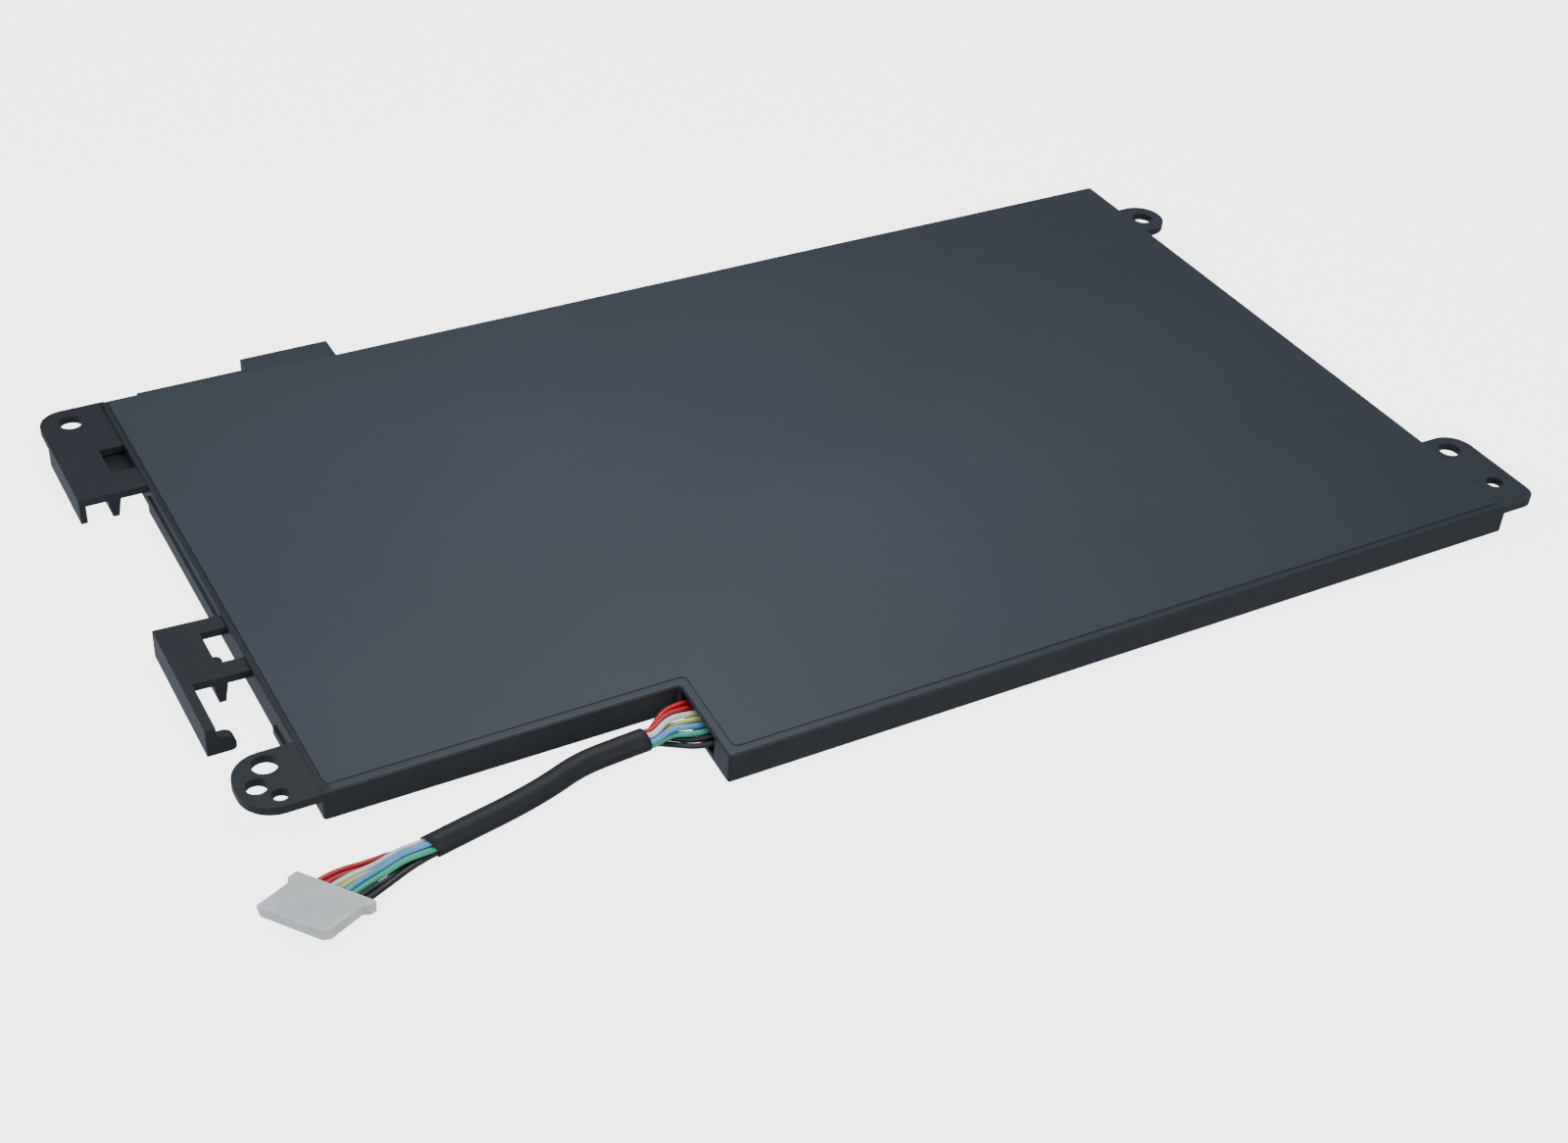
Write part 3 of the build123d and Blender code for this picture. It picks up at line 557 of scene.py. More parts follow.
# Rounded edges: the wear tone at a high share, painted highlights along them as well as wear.
RUBBED_AND_HIGHLIT_EDGE = replace(FRAME_PLASTIC, name="rubbed_edge", rub_share=0.4, roughness=0.38)
TOP_FILM = SatinFilm("top_film", (0.0325, 0.0372, 0.0508), (0.0378, 0.0430, 0.0580))
UNDER_FILM = SatinFilm("under_film", (0.03, 0.032, 0.036), (0.036, 0.038, 0.042))
SLEEVE_TUBING = Tubing("sleeve_tubing", (0.0095, 0.0100, 0.0140), (0.0140, 0.0150, 0.0205))
PLUG_NYLON = NaturalNylon("plug_nylon", (0.605, 0.598, 0.596), (0.655, 0.648, 0.645))
NICKEL = BareMetal("nickel", (0.56, 0.54, 0.50), (0.66, 0.64, 0.60))
POUCH_FOIL = BareMetal("pouch_foil", (0.60, 0.61, 0.63), (0.68, 0.69, 0.71), 0.4)
CONTACT_METAL = BareMetal("contact_metal", (0.62, 0.56, 0.42), (0.70, 0.64, 0.50))
SOLDER = BareMetal("solder", (0.62, 0.62, 0.64), (0.72, 0.72, 0.73), 0.2)
BOARD_LACQUER = Coat("board_lacquer", (0.015, 0.11, 0.05), (0.02, 0.15, 0.07))
CHIP_RESIN = Coat("chip_resin", (0.015, 0.015, 0.017), (0.025, 0.025, 0.027), 0.5)
RESISTOR_GLAZE = Coat("resistor_glaze", (0.02, 0.02, 0.024), (0.035, 0.035, 0.04))
CAPACITOR_GLAZE = Coat("capacitor_glaze", (0.30, 0.19, 0.10), (0.36, 0.24, 0.14))
FUSE_GLAZE = Coat("fuse_glaze", (0.55, 0.55, 0.50), (0.62, 0.62, 0.58))
ADHESIVE = Coat("adhesive", (0.62, 0.62, 0.57), (0.70, 0.70, 0.65), 0.6)
AMBER_TAPE = Coat("amber_tape", (0.48, 0.26, 0.05), (0.56, 0.32, 0.08), 0.35)
INSULATOR_SHEET = Coat("insulator_sheet", (0.50, 0.42, 0.24), (0.56, 0.48, 0.28), 0.45)


class Wire(Enum):
    """The wires of the lead from back to front, each with its insulation."""

    RED_BACK = Insulation("insulation_red_back", (0.42, 0.004, 0.012), (0.50, 0.008, 0.018))
    RED_FRONT = Insulation("insulation_red_front", (0.40, 0.004, 0.012), (0.47, 0.008, 0.018))
    WHITE = Insulation("insulation_white", (0.66, 0.65, 0.66), (0.72, 0.71, 0.71))
    YELLOW = Insulation("insulation_yellow", (0.55, 0.58, 0.10), (0.63, 0.66, 0.15))
    BLUE = Insulation("insulation_blue", (0.09, 0.28, 0.60), (0.12, 0.33, 0.66))
    GREEN = Insulation("insulation_green", (0.03, 0.34, 0.22), (0.05, 0.40, 0.26))
    BLACK_BACK = Insulation("insulation_black_back", (0.009, 0.009, 0.012), (0.014, 0.014, 0.018))
    BLACK_FRONT = Insulation("insulation_black_front", (0.008, 0.008, 0.011), (0.013, 0.013, 0.017))

    @property
    def node(self) -> str:
        """Name of the wire's CAD node."""
        return f"wire_{self.name.lower()}"

    @property
    def slot(self) -> str:
        """Material slot of the wire, named by its colour."""
        return "wire_" + self.name.lower().split("_")[0]


class Finish(Protocol):
    """Anything that builds its own material."""

    def material(self) -> bpy.types.Material:
        """Builds the material."""


def dress(name: str, finish: Finish) -> None:
    """Gives a CAD node a finish.

    Args:
        name: The node.
        finish: What it is made of.
    """
    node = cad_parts[name]
    node.data.materials.clear()
    node.data.materials.append(finish.material())
    LOG.info("dressed %s", name)


def add_piece(name: str, data: bpy.types.ID, node: str) -> bpy.types.Object:
    """Puts a finished piece in the scene, on the pack's body.

    Args:
        name: The piece's name.
        data: Its mesh or curve.
        node: CAD node that it stands for.

    Returns:
        The new object.
    """
    piece = link_object(name, data)
    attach(piece, BODY)
    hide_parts(node)
    LOG.info("made %s", name)
    return piece


@dataclass(frozen=True)
class SoftSpot:
    """A place whose edges are rounded more than the rest, in millimetres from the left and front walls."""

    place: Point
    reach: float
    width: float

    def edges(self, shape: bmesh.types.BMesh) -> list[bmesh.types.BMEdge]:
        """Edges that lie wholly within the spot."""
        centre = pack_point(*self.place)
        reach = self.reach * MM
        return [edge for edge in shape.edges if all((end.co - centre).length < reach for end in edge.verts)]


@dataclass(frozen=True)
class EdgedCopy:
    """Copy of a CAD node's shape with its sharp edges broken, wide ones first."""

    node: str
    widths: tuple[float, ...]
    segments: int = 4
    angle: float = 35.0
    smooth_angle: float = 40.0
    flat_angle: float = 0.5
    weld: float = 0.0005
    room: float = 2.4
    along_limit: float = 0.85
    edge_slot: int = 0
    spots: tuple[SoftSpot, ...] = ()

    def shape(self) -> bmesh.types.BMesh:
        """Welded copy of the node's mesh with rounded edges, still open to changes."""
        shape = bmesh.new()
        shape.from_mesh(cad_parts[self.node].data)
        bmesh.ops.remove_doubles(shape, verts=shape.verts, dist=self.weld * MM)
        bmesh.ops.dissolve_limit(
            shape,
            angle_limit=math.radians(self.flat_angle),
            verts=shape.verts,
            edges=shape.edges,
            use_dissolve_boundaries=False,
        )
        for spot in self.spots:
            self.bevel(shape, [edge for edge in spot.edges(shape) if self.is_sharp(edge)], spot.width)
        for width in self.widths:
            self.bevel(shape, [edge for edge in shape.edges if self.has_room(edge, width)], width)
        return shape

    def plain(self, shape: bmesh.types.BMesh) -> bpy.types.Mesh:
        """The finished shape as a smooth-shaded mesh, with its sharp edges marked."""
        raw = smooth_mesh(f"{self.node}_raw", shape)
        raw.set_sharp_from_angle(angle=math.radians(self.smooth_angle))
        return raw

    def mesh(self) -> bpy.types.Mesh:
        """The rounded copy as a plain mesh."""
        return self.even_normals(self.plain(self.shape()))

    def bevel(self, shape: bmesh.types.BMesh, edges: list[bmesh.types.BMEdge], width: float) -> None:
        """Rounds the given edges.

        Args:
            shape: The mesh to change.
            edges: Its edges.
            width: Width of the rounding in millimetres.
        """
        bmesh.ops.bevel(
            shape,
            geom=edges,
            offset=width * MM,
            offset_type="OFFSET",
            segments=self.segments,
            profile=0.5,
            affect="EDGES",
            clamp_overlap=True,
            material=self.edge_slot,
        )

    def is_sharp(self, edge: bmesh.types.BMEdge) -> bool:
        """Whether an edge is sharp and points outwards."""
        return edge.is_manifold and edge.calc_face_angle_signed(0.0) > math.radians(self.angle)

    def has_room(self, edge: bmesh.types.BMEdge, width: float) -> bool:
        """Whether a sharp edge has no neighbour too short for a rounding of that many millimetres."""
        if not self.is_sharp(edge):
            return False
        room = self.room * width * MM
        along = (edge.verts[1].co - edge.verts[0].co).normalized()
        for vertex in edge.verts:
            for other in vertex.link_edges:
                ahead = (other.other_vert(vertex).co - vertex.co).normalized()
                if other.calc_length() < room and abs(ahead.dot(along)) < self.along_limit:
                    return False
        return True

    def even_normals(self, raw: bpy.types.Mesh) -> bpy.types.Mesh:
        """The rounded mesh, with wide flat faces shaded flat up to their edges."""
        helper = link_object(f"{self.node}_helper", raw)
        weighted = helper.modifiers.new("normals", "WEIGHTED_NORMAL")
        weighted.mode = "FACE_AREA"
        weighted.weight = 100
        weighted.keep_sharp = True
        mesh = plain_mesh(helper)
        mesh.name = f"{self.node}_edged"
        return mesh


class Lay(Enum):
    """How the wires lie round the lead's middle line."""

    BOARD_ROW = "side by side at the board"
    BOARD_FAN = "closing up from the board's row"
    BOARD_MOUTH = "going into the sleeve"
    RING = "round one another in the sleeve"
    PLUG_MOUTH = "coming out of the sleeve"
    PLUG_FAN = "opening out to the plug's row"
    PLUG_ROW = "side by side in the plug"


# How far each wire lies to the left of the lead's middle line and above it where the wires fan out
FANS = {
    Lay.BOARD_FAN: (
        (-4.40, 0.58), (-3.07, 0.65), (-1.68, 0.73), (-0.66, 0.40),
        (0.94, 0.53), (1.95, -0.01), (2.45, -0.85), (3.64, -1.04),
    ),
    Lay.BOARD_MOUTH: (
        (-3.48, 1.09), (-2.37, 1.39), (-1.12, 1.65), (-0.72, 0.58),
        (0.64, 1.38), (0.70, 0.29), (0.18, -0.97), (1.00, -1.54),
    ),
    Lay.PLUG_MOUTH: (
        (-2.84, -0.97), (-1.73, 0.21), (-1.12, 0.91), (-0.15, -0.13),
        (-0.15, 1.07), (0.69, 0.68), (0.60, -0.63), (1.62, -0.28),
    ),
    Lay.PLUG_FAN: (
        (-3.15, -1.23), (-1.75, -0.99), (-1.17, -0.17), (-0.33, -0.39),
        (0.20, 0.45), (1.11, 0.12), (1.85, -0.52), (2.82, -0.14),
    ),
}


# The lead's middle line where the wires lie in the sleeve, and its height
RING_LEVEL = 1.85
RING_LINE = (
    (47.6, 11.55), (46.2, 11.65), (41.5, 11.35), (35.5, 10.75), (29.5, 8.45),
    (23.0, 6.75), (16.5, 5.5), (11.0, 4.35), (9.2, 3.98),
)


@dataclass(frozen=True)
class Station:
    """One point of the lead's middle line, in millimetres, and how the wires lie there."""

    x: float
    y: float
    level: float
    lay: Lay


@dataclass(frozen=True)
class Lead:
    """Eight wires from the board to the plug, with a sleeve over the middle stretch."""

    wire_diameter: float = 0.9
    board_pitch: float = 1.35
    plug_pitch: float = 1.2
    ring_radius: float = 1.1
    ring_turns: tuple[float, float] = (165.0, 235.0)
    sleeve_diameter: float = 3.6
    sleeve_bore: float = 3.24
    plug_across: Point = PLUG_ACROSS
    stations: tuple[Station, ...] = (
        Station(59.8, 10.625, 2.73, Lay.BOARD_ROW),
        Station(55.9, 10.625, 2.73, Lay.BOARD_ROW),
        Station(53.4, 11.0, 2.4, Lay.BOARD_FAN),
        Station(50.3, 11.3, 2.05, Lay.BOARD_MOUTH),
        *(Station(x, y, RING_LEVEL, Lay.RING) for x, y in RING_LINE),
        Station(6.2, 3.55, 1.8, Lay.PLUG_MOUTH),
        Station(2.8, 3.2, 1.75, Lay.PLUG_FAN),
        Station(*PLUG_STATIONS[0], Lay.PLUG_ROW),
        Station(*PLUG_STATIONS[1], Lay.PLUG_ROW),
    )
    ring: tuple[Wire, ...] = (
        Wire.RED_BACK, Wire.RED_FRONT, Wire.WHITE, Wire.BLUE, Wire.GREEN, Wire.BLACK_FRONT, Wire.BLACK_BACK,
    )
    sleeve_sides: int = 40
    sleeve_slants: tuple[float, float] = (0.5, 1.3)
    slant_reach: float = 3.0
    slant_turn: float = 57.0

    def across(self, index: int) -> Vector:
        """Unit vector to the left of the lead at a station: along the plug's row, or square to the lead."""
        lay = self.stations[index].lay
        if lay is Lay.PLUG_ROW:
            return Vector(self.plug_across)
        before, after = (0, 1) if lay is Lay.BOARD_ROW else (index - 1, index + 1)
        start, end = self.stations[before], self.stations[after]
        return Vector((start.y - end.y, end.x - start.x, 0.0)).normalized()

    def offset(self, wire: Wire, index: int) -> tuple[float, float]:
        """Where a wire lies round the lead's middle line.

        Args:
            wire: The wire.
            index: The station's number.

        Returns:
            Millimetres to the left and upwards.
        """
        lay = self.stations[index].lay
        place = list(Wire).index(wire)
        middle = (len(Wire) - 1) / 2
        if lay is Lay.BOARD_ROW:
            return (place - middle) * self.board_pitch, 0.0
        if lay is Lay.PLUG_ROW:
            return (place - middle) * self.plug_pitch, 0.0
        if lay in FANS:
            return FANS[lay][place]
        if wire not in self.ring:
            return 0.0, 0.0
        ring = [number for number, station in enumerate(self.stations) if station.lay is Lay.RING]
        first, last = self.ring_turns
        turn = first + (last - first) * ring.index(index) / (len(ring) - 1)
        angle = math.radians(turn - self.ring.index(wire) * 360 / len(self.ring))
        return self.ring_radius * math.cos(angle), self.ring_radius * math.sin(angle)

    def route(self, wire: Wire) -> list[Vector]:
        """Control points of one wire in metres, from the board to the plug."""
        points = []
        for index, station in enumerate(self.stations):
            left, up = self.offset(wire, index)
            side = self.across(index) * left
            points.append(pack_point(station.x + side.x, station.y + side.y, station.level + up + side.z))
        return points

    def sleeve_route(self) -> list[Vector]:
        """Control points of the sleeve: the ring's stations without the first and last."""
        ring = [station for station in self.stations if station.lay is Lay.RING]
        return [pack_point(station.x, station.y, station.level) for station in ring[1:-1]]

    @staticmethod
    def smooth_curve(name: str, points: Sequence[Vector], radius: float) -> bpy.types.Curve:
        """Smooth open curve through a route.

        Args:
            name: Name of the curve.
            points: Its control points.
            radius: Radius of its round section in metres, or 0 for a bare line.

        Returns:
            The curve.
        """
        curve = bpy.data.curves.new(name, "CURVE")
        curve.dimensions = "3D"
        spline = curve.splines.new("NURBS")
        spline.points.add(len(points) - 1)
        for control, point in zip(spline.points, points):
            control.co = (*point, 1.0)
        spline.order_u = 3
        spline.use_endpoint_u = True
        curve.resolution_u = LINE_STEPS
        curve.bevel_depth = radius
        curve.bevel_resolution = SECTION_STEPS
        curve.use_fill_caps = radius > 0
        return curve

    @classmethod
    def line_points(cls, points: Sequence[Vector]) -> list[Vector]:
        """Points in order along the smooth line of a route's control points."""
        mesh = plain_mesh(link_object("route_helper", cls.smooth_curve("route_line", points, 0.0)))
        line = [vertex.co.copy() for vertex in mesh.vertices]
        bpy.data.meshes.remove(mesh)
        return line

    def slant(self, travelled: float, left: float, angle: float) -> float:
        """How far a point of the sleeve is drawn along the lead by its slanted ends.

        Args:
            travelled: Way from the sleeve's start in metres.
            left: Way to its end in metres.
            angle: Turn round the line from the back, in radians.

        Returns:
            Metres along the lead.
        """
        upper = 0.5 + 0.5 * math.cos(angle - math.radians(self.slant_turn))
        start, end = self.sleeve_slants
        reach = self.slant_reach * MM
        drawn_back = start * (1.0 - upper) * max(0.0, 1.0 - travelled / reach) ** 2
        drawn_on = end * upper * max(0.0, 1.0 - left / reach) ** 2
        return (drawn_on - drawn_back) * MM

    def sleeve_mesh(self) -> bpy.types.Mesh:
        """Hollow tube along the sleeve's line, with slanted ends and rounded lips."""
        line = self.line_points(self.sleeve_route())
        steps = [(after - before).length for before, after in zip(line, line[1:])]
        travelled = [sum(steps[:index]) for index in range(len(line))]
        outer, inner = self.sleeve_diameter / 2 * MM, self.sleeve_bore / 2 * MM
        lip = (outer - inner) / 2
        sides = self.sleeve_sides
        last = len(line) - 1
        shape = bmesh.new()

        def ring(index: int, radius: float, inset: float) -> list[bmesh.types.BMVert]:
            """One ring of vertices round the line."""
            along = (line[min(index + 1, last)] - line[max(index - 1, 0)]).normalized()
            back = along.cross(Vector((0.0, 0.0, 1.0))).normalized()
            up = back.cross(along)
            ends = (inset if index == 0 else 0.0) - (inset if index == last else 0.0)
            vertices = []
            for side in range(sides):
                angle = 2 * math.pi * side / sides
                drawn = ends + self.slant(travelled[index], travelled[last] - travelled[index], angle)
                outwards = back * math.cos(angle) + up * math.sin(angle)
                vertices.append(shape.verts.new(line[index] + along * drawn + outwards * radius))
            return vertices

        rings = [ring(index, outer, lip) for index in range(len(line))]
        rings.append(ring(last, (outer + inner) / 2, 0.0))
        rings += [ring(index, inner, lip) for index in reversed(range(len(line)))]
        rings.append(ring(0, (outer + inner) / 2, 0.0))
        for first, second in zip(rings, rings[1:] + rings[:1]):
            for side in range(sides):
                following = (side + 1) % sides
                shape.faces.new((first[side], first[following], second[following], second[side]))
        bmesh.ops.recalc_face_normals(shape, faces=shape.faces)
        return smooth_mesh("cable_sleeve", shape)

    def build(self) -> None:
        """Makes the wires and the sleeve."""
        sleeve_mesh = self.sleeve_mesh()
        sleeve_mesh.materials.append(SLEEVE_TUBING.material())
        sleeve = add_piece("sleeve", sleeve_mesh, "cable_sleeve")
        for wire in Wire:
            points = self.route(wire)
            line = self.line_points(points)
            length = sum((after - before).length for before, after in zip(line, line[1:]))
            curve = self.smooth_curve(wire.node + "_line", points, self.wire_diameter / 2 * MM)
            curve.materials.append(wire.value.material())
            piece = add_piece(wire.node + "_lead", curve, wire.node)
            LOG.info("%s is %.1f mm long", wire.node, length / MM)


@dataclass(frozen=True)
class Plug:
    """White plug body and its contacts."""

    edges: tuple[float, ...] = (0.4, 0.2, 0.1)

    def build(self) -> None:
        """Makes the plug's body and dresses its contacts."""
        mesh = EdgedCopy("connector_housing", self.edges).mesh()
        mesh.materials.append(PLUG_NYLON.material())
        add_piece("plug_body", mesh, "connector_housing")
        dress("connector_terminals", CONTACT_METAL)


@dataclass(frozen=True)
class FilmRelief:
    """Shallow waves and one crease, pressed into the film's upper face by Geometry Nodes."""

    depth: float = 0.06
    size: float = 28.0
    crease: tuple[tuple[float, float], tuple[float, float]] = ((146.0, 111.0), (197.0, 107.8))
    crease_depth: float = 0.05
    crease_width: float = 1.0
    fade: float = 10.0
    step: float = 5.0
    crease_cuts: tuple[float, ...] = (-1.0, -0.5, 0.0, 0.5, 1.0)
    cut_gap: float = 0.001
    skin: tuple[float, float] = (0.03, 0.005)
    seed: float = 7.0

    def slice(self, shape: bmesh.types.BMesh) -> None:
        """Cuts the film into a grid, with finer cuts along the crease."""
        rightwards, backwards = Vector((1.0, 0.0, 0.0)), Vector((0.0, 1.0, 0.0))
        cuts = [(pack_point(place, 0.0, 0.0), rightwards) for place in self.places(BODY_LENGTH)]
        cuts += [(pack_point(0.0, place, 0.0), backwards) for place in self.places(BODY_DEPTH)]
        start, _, across = self.crease_line()
        width = self.crease_width * MM
        cuts += [(start + across * share * width, across) for share in self.crease_cuts]
        for point, normal in cuts:
            bmesh.ops.bisect_plane(
                shape,
                geom=[*shape.verts, *shape.edges, *shape.faces],
                dist=self.cut_gap * MM,
                plane_co=point,
                plane_no=normal,
            )

    def places(self, length: float) -> list[float]:
        """Even places of cuts along a side."""
        return [self.step * number for number in range(1, int(length / self.step) + 1)]

    def crease_line(self) -> tuple[Vector, Vector, Vector]:
        """Start of the crease, the direction along it and the one across it."""
        start, end = (pack_point(*place, 0.0) for place in self.crease)
        along = (end - start).normalized()
        return start, along, Vector((-along.y, along.x, 0.0))

    def press(self, raw: bpy.types.Mesh, finish: bpy.types.Material) -> bpy.types.Mesh:
        """Presses the waves and the crease into the film.

        Args:
            raw: The sliced film.
            finish: Its material.

        Returns:
            The film as a plain mesh.
        """
        tree = ShapeTree(
            "film_relief",
            Depth=self.depth * MM,
            Crease=self.crease_depth * MM,
            Seed=self.seed,
            Finish=finish,
        )
        place = tree.node("GeometryNodeInputPosition").outputs["Position"]
        split = tree.node("ShaderNodeSeparateXYZ", inputs={"Vector": place})
        x, y, z = (Value(tree, split.outputs[name]) for name in ("X", "Y", "Z"))
        noise = tree.node(
            "ShaderNodeTexNoise",
            {"noise_dimensions": "4D"},
            {"Vector": place, "W": tree.input("Seed"), "Scale": 1.0 / (self.size * MM), "Detail": 1.0},
        )
        waves = Value(tree, noise.outputs["Fac"]).band(0.25, 0.75)
        start, along, across = self.crease_line()
        travelled = (x - start.x) * along.x + (y - start.y) * along.y
        aside = (x - start.x) * across.x + (y - start.y) * across.y
        length = (pack_point(*self.crease[1], 0.0) - start).length
        fade = self.fade * MM
        ends = travelled.band(0.0, fade) * (1.0 - travelled.band(length - fade, length))
        groove = ends * (1.0 - ((aside * aside) ** 0.5).band(0.0, self.crease_width * MM))
        upper = z.band(*((FILM_TOP - drop) * MM for drop in self.skin))
        sunk = upper * (waves * tree.input("Depth") + groove * tree.input("Crease"))
        shift = tree.node("ShaderNodeCombineXYZ", inputs={"Z": -1.0 * sunk})
        moved = tree.node(
            "GeometryNodeSetPosition",
            inputs={"Geometry": tree.entry.outputs["Geometry"], "Offset": shift.outputs["Vector"]},
        )
        tree.end(moved.outputs["Geometry"], "Finish")
        return tree.mesh("film_pressed", raw)


@dataclass(frozen=True)
class Casing:
    """Moulded frame and the films over and under it."""

    frame_edges: tuple[float, ...] = (0.45, 0.25, 0.1)
    hook_end: SoftSpot = SoftSpot((-5.9, 36.8, 0.2), 1.0, 0.7)
    film_edge: float = 0.09
    film_inset: float = 0.45
    film_border: float = 0.3
    bracket_span: tuple[float, float] = (35.0, 62.0)
    bracket_lift: float = 0.5

    def build(self) -> None:
        """Makes the frame and the top film, and dresses the film under it."""
        copy = EdgedCopy("frame", self.frame_edges, edge_slot=1, spots=(self.hook_end,))
        shape = copy.shape()
        self.lift_bracket(shape)
        mesh = copy.even_normals(copy.plain(shape))
        mesh.materials.append(FRAME_PLASTIC.material())
        # Slot 1 goes on the rounded edges: wear and painted highlights.
        mesh.materials.append(RUBBED_AND_HIGHLIT_EDGE.material())
        add_piece("frame_moulding", mesh, "frame")
        add_piece("film_sheet", self.film_mesh(), "top_film")
        dress("bottom_film", UNDER_FILM)

    def lift_bracket(self, shape: bmesh.types.BMesh) -> None:
        """Tilts the frame's middle bracket up a little towards its outer end."""
        wall = pack_point(0.0, 0.0, 0.0).x
        near, far = (pack_point(0.0, place, 0.0).y for place in self.bracket_span)
        reach = LEFT_REACH * MM
        for vertex in shape.verts:
            if near < vertex.co.y < far and vertex.co.x < wall:
                share = (wall - vertex.co.x) / reach * vertex.co.z / (FILM_TOP * MM)
                vertex.co.z += self.bracket_lift * MM * share

    def film_mesh(self) -> bpy.types.Mesh:
        """The top film: a rounded edge, set in a little on the left, with pressed relief."""
        copy = EdgedCopy("top_film", (self.film_edge,))
        shape = copy.shape()
        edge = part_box("top_film")[0][0]
        for vertex in shape.verts:
            if vertex.co.x < edge + self.film_border * MM:
                vertex.co.x += self.film_inset * MM
        relief = FilmRelief()
        relief.slice(shape)
        return copy.even_normals(relief.press(copy.plain(shape), TOP_FILM.material()))


@dataclass(frozen=True)
class Inside:
    """Cells, board and their small parts, closed in by the films."""

    sides: tuple[str, ...] = ("left", "middle", "right")
    joint_width: float = 1.0
    dome_segments: int = 24
    dome_rings: int = 12
    dressed: tuple[tuple[str, Finish], ...] = (
        ("board_insulator", INSULATOR_SHEET),
        ("protection_board", BOARD_LACQUER),
        ("weld_pads", NICKEL),
        ("gauge_chip", CHIP_RESIN),
        ("switch_transistors", CHIP_RESIN),
        ("sense_resistor", RESISTOR_GLAZE),
        ("thermistor", RESISTOR_GLAZE),
        ("chip_resistors", RESISTOR_GLAZE),
        ("ceramic_capacitors", CAPACITOR_GLAZE),
        ("chip_fuse", FUSE_GLAZE),
    )
    dressed_by_cell: tuple[tuple[str, Finish], ...] = (
        ("cell_{}", POUCH_FOIL),
        ("cell_tape_{}", ADHESIVE),
        ("tab_tape_{}", AMBER_TAPE),
        ("tab_{}_plus", NICKEL),
        ("tab_{}_minus", NICKEL),
    )

    def solder_row(self) -> bpy.types.Mesh:
        """A row of solder domes, one for each wire, made with Geometry Nodes."""
        low, high = (Vector(corner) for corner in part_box("solder_joints"))
        width = self.joint_width * MM
        pitch = (high.y - low.y - width) / (len(Wire) - 1)
        tree = ShapeTree(
            "solder_row",
            Count=len(Wire),
            Start=Vector(((low.x + high.x) / 2, low.y + width / 2, low.z)),
            Step=Vector((0.0, pitch, 0.0)),
            Size=Vector(((high.x - low.x) / 2, width / 2, high.z - low.z)),
            Finish=SOLDER.material(),
        )
        line = tree.node(
            "GeometryNodeMeshLine",
            {"mode": "OFFSET"},
            {
                "Count": tree.input("Count"),
                "Start Location": tree.input("Start"),
                "Offset": tree.input("Step"),
            },
        )
        ball = tree.node(
            "GeometryNodeMeshUVSphere",
            inputs={"Segments": self.dome_segments, "Rings": self.dome_rings, "Radius": 1.0},
        )
        place = tree.node("GeometryNodeInputPosition").outputs["Position"]
        sized = tree.node(
            "ShaderNodeVectorMath", {"operation": "MULTIPLY"}, {0: place, 1: tree.input("Size")}
        )
        upper = tree.node(
            "ShaderNodeVectorMath",
            {"operation": "MAXIMUM"},
            {0: sized.outputs["Vector"], 1: (-1.0, -1.0, 0.0)},
        )
        dome = tree.node(
            "GeometryNodeSetPosition",
            inputs={"Geometry": ball.outputs["Mesh"], "Position": upper.outputs["Vector"]},
        )
        smooth = tree.node("GeometryNodeSetShadeSmooth", inputs={"Geometry": dome.outputs["Geometry"]})
        row = tree.node(
            "GeometryNodeInstanceOnPoints",
            inputs={"Points": line.outputs["Mesh"], "Instance": smooth.outputs["Geometry"]},
        )
        tree.end(row.outputs["Instances"], "Finish")
        return tree.mesh("solder_row", bpy.data.meshes.new("solder_start"))

    def build(self) -> None:
        """Makes the solder row and dresses every other inner node."""
        for side in self.sides:
            for name, finish in self.dressed_by_cell:
                dress(name.format(side), finish)
        for name, finish in self.dressed:
            dress(name, finish)
        add_piece("solder_domes", self.solder_row(), "solder_joints")


@dataclass(frozen=True)
class SoftLight:
    """A square soft box that points at the pack."""

    name: str
    place: Point
    aim: Point
    size: float
    power: float
    colour: Colour = WHITE

    def build(self) -> None:
        """Adds the light."""
        data = bpy.data.lights.new(self.name, "AREA")
        data.shape = "SQUARE"
        data.size = self.size
        data.energy = self.power
        data.color = self.colour
        lamp = link_object(self.name, data)
        lamp.location = self.place
        lamp.rotation_euler = (Vector(self.aim) - Vector(self.place)).to_track_quat("-Z", "Y").to_euler()


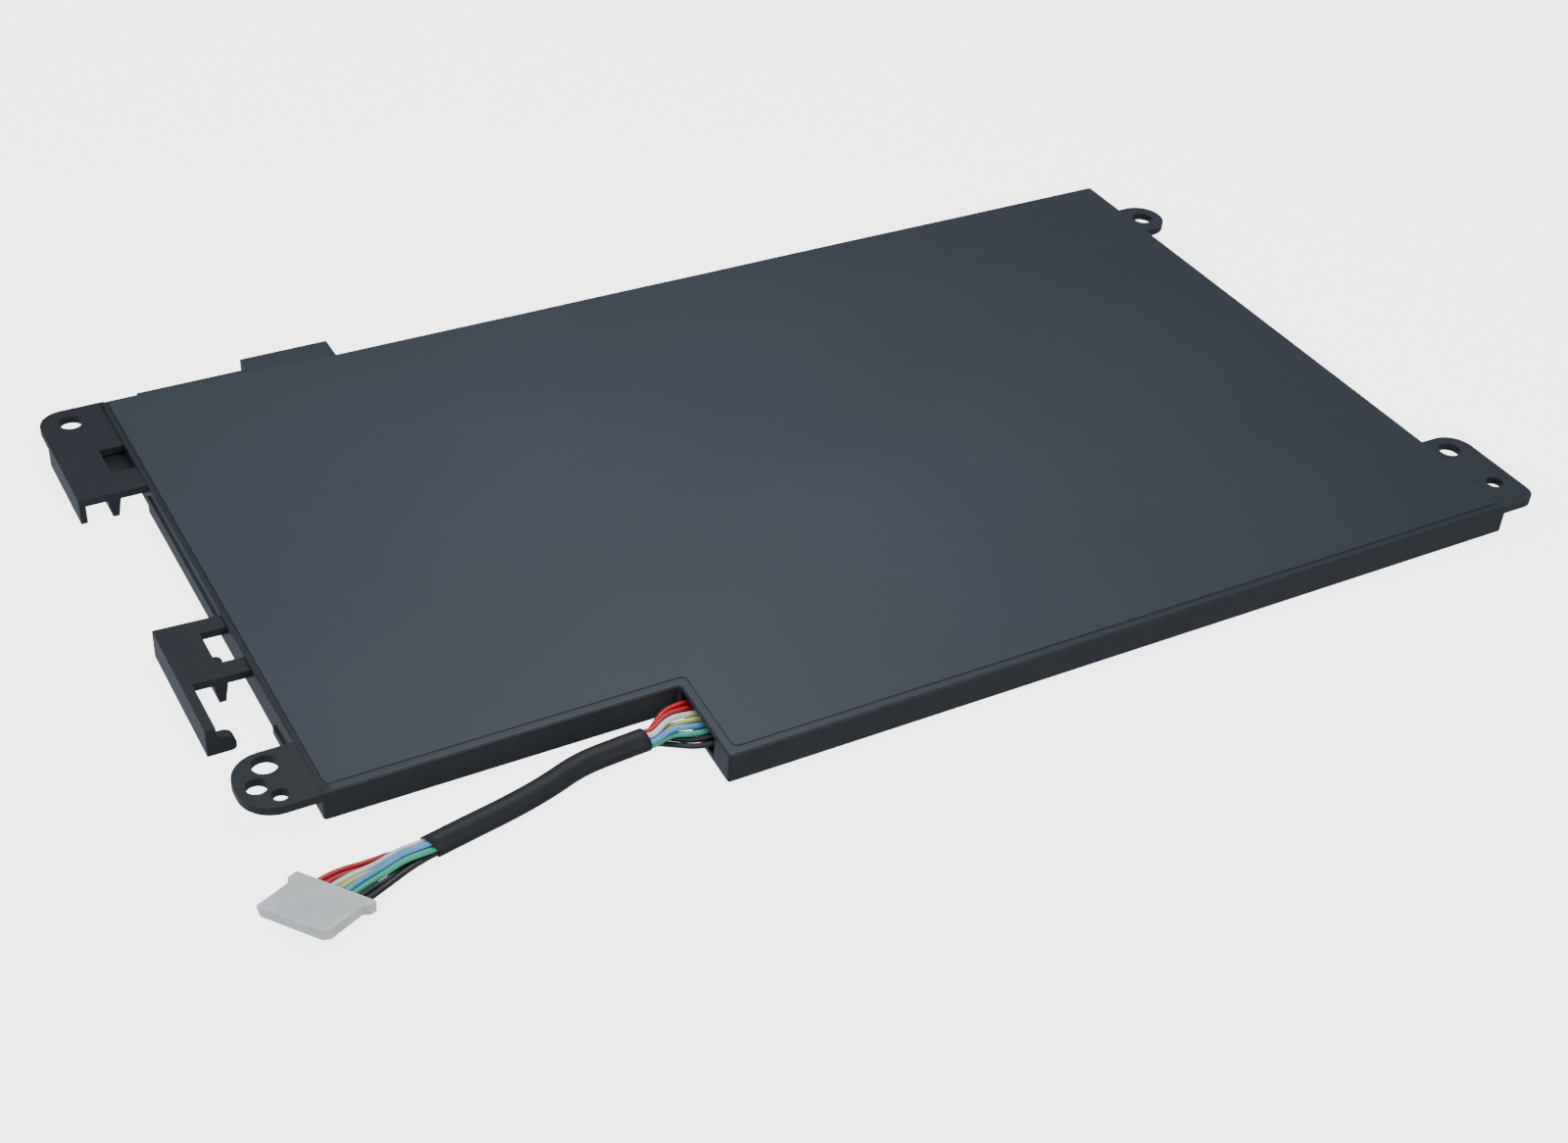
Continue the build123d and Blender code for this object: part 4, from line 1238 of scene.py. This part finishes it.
@dataclass(frozen=True)
class Studio:
    """Pale floor, soft lights and the camera."""

    target: tuple[float, float] = (85.33, 40.42)
    distance: float = 370.2
    azimuth: float = -31.638
    elevation: float = 37.035
    roll: float = 4.36
    lens: float = 53.23
    sensor: float = 36.0
    near_limit: float = 0.01
    floor_half: float = 4.0
    floor_gap: float = 0.02
    floor_glow: float = 3.75
    floor_tones: tuple[float, float] = (0.42, 0.43)
    surround: tuple[float, float] = (0.54, 0.9)
    surround_colour: Colour = (0.84, 0.93, 1.0)
    bright_band: tuple[float, float] = (0.35, 0.95)
    bright_side: Point = (-0.5, 0.75, -0.43)
    lights: tuple[SoftLight, ...] = (
        SoftLight("left_box", (-0.55, 0.0, 0.22), (-0.05, 0.0, 0.0), 0.4, 1.6, (0.72, 0.87, 1.0)),
        SoftLight("low_box", (-0.030, -0.014, 0.135), (-0.030, -0.014, 0.0), 0.09, 0.152),
        SoftLight("front_box", (0.05, -0.7, 0.12), (0.0, -0.05, 0.0), 0.5, 2.7),
    )

    def build(self) -> None:
        """Adds the floor, the lights and the camera."""
        self.add_floor()
        for light in self.lights:
            light.build()
        self.add_world()
        self.add_camera()

    def add_floor(self) -> None:
        """Lays a wide pale floor just under the pack."""
        mesh = bpy.data.meshes.new("floor")
        half = self.floor_half
        corners = [(-half, -half, 0.0), (half, -half, 0.0), (half, half, 0.0), (-half, half, 0.0)]
        mesh.from_pydata(corners, [], [(0, 1, 2, 3)])
        tree = ShaderTree("floor_paint")
        clouds = tree.noise(400.0)
        paint = tree.blend(clouds, *((tone, tone, tone) for tone in self.floor_tones))
        mesh.materials.append(
            tree.finish(
                Base_Color=paint,
                Roughness=0.9,
                Specular_IOR_Level=0.0,
                Emission_Color=WHITE,
                Emission_Strength=self.floor_glow,
            )
        )
        floor = link_object("floor", mesh)
        floor.visible_diffuse = False
        floor.visible_glossy = False
        floor.location.z = -self.floor_gap * MM

    def add_world(self) -> None:
        """Surrounds the scene with pale light, brighter behind the pack on the left."""
        world = bpy.data.worlds.new("studio")
        world.use_nodes = True
        tree = NodeTree(world.node_tree)
        direction = tree.node("ShaderNodeTexCoord").outputs["Generated"]
        along = tree.node(
            "ShaderNodeVectorMath", {"operation": "DOT_PRODUCT"}, {0: direction, 1: self.bright_side}
        )
        dim, bright = self.surround
        strength = dim + (bright - dim) * Value(tree, along.outputs["Value"]).band(*self.bright_band)
        background = tree.node(
            "ShaderNodeBackground", inputs={"Color": self.surround_colour, "Strength": strength}
        )
        tree.node("ShaderNodeOutputWorld", inputs={"Surface": background.outputs["Background"]})
        bpy.context.scene.world = world

    def add_camera(self) -> None:
        """Sets the camera where the photographer stood."""
        around, up_angle = math.radians(self.azimuth), math.radians(self.elevation)
        back = Vector((
            math.sin(around) * math.cos(up_angle),
            -math.cos(around) * math.cos(up_angle),
            math.sin(up_angle),
        ))
        level = Vector((0.0, 0.0, 1.0)).cross(back).normalized()
        upright = back.cross(level)
        turn = math.radians(self.roll)
        right = level * math.cos(turn) + upright * math.sin(turn)
        top = upright * math.cos(turn) - level * math.sin(turn)
        place = pack_point(*self.target, 0.0) + back * self.distance * MM
        data = bpy.data.cameras.new("camera")
        data.sensor_fit = "HORIZONTAL"
        data.sensor_width = self.sensor
        data.lens = self.lens
        data.clip_start = self.near_limit
        camera = link_object("camera", data)
        axes = Matrix((right, top, back)).transposed().to_4x4()
        camera.matrix_world = Matrix.Translation(place) @ axes
        bpy.context.scene.camera = camera


def main() -> None:
    """Builds the battery and its studio in order."""
    logging.basicConfig(level=logging.INFO, format="%(message)s")
    Casing().build()
    Inside().build()
    Plug().build()
    Lead().build()
    Studio().build()


if __name__ == "__main__":
    main()
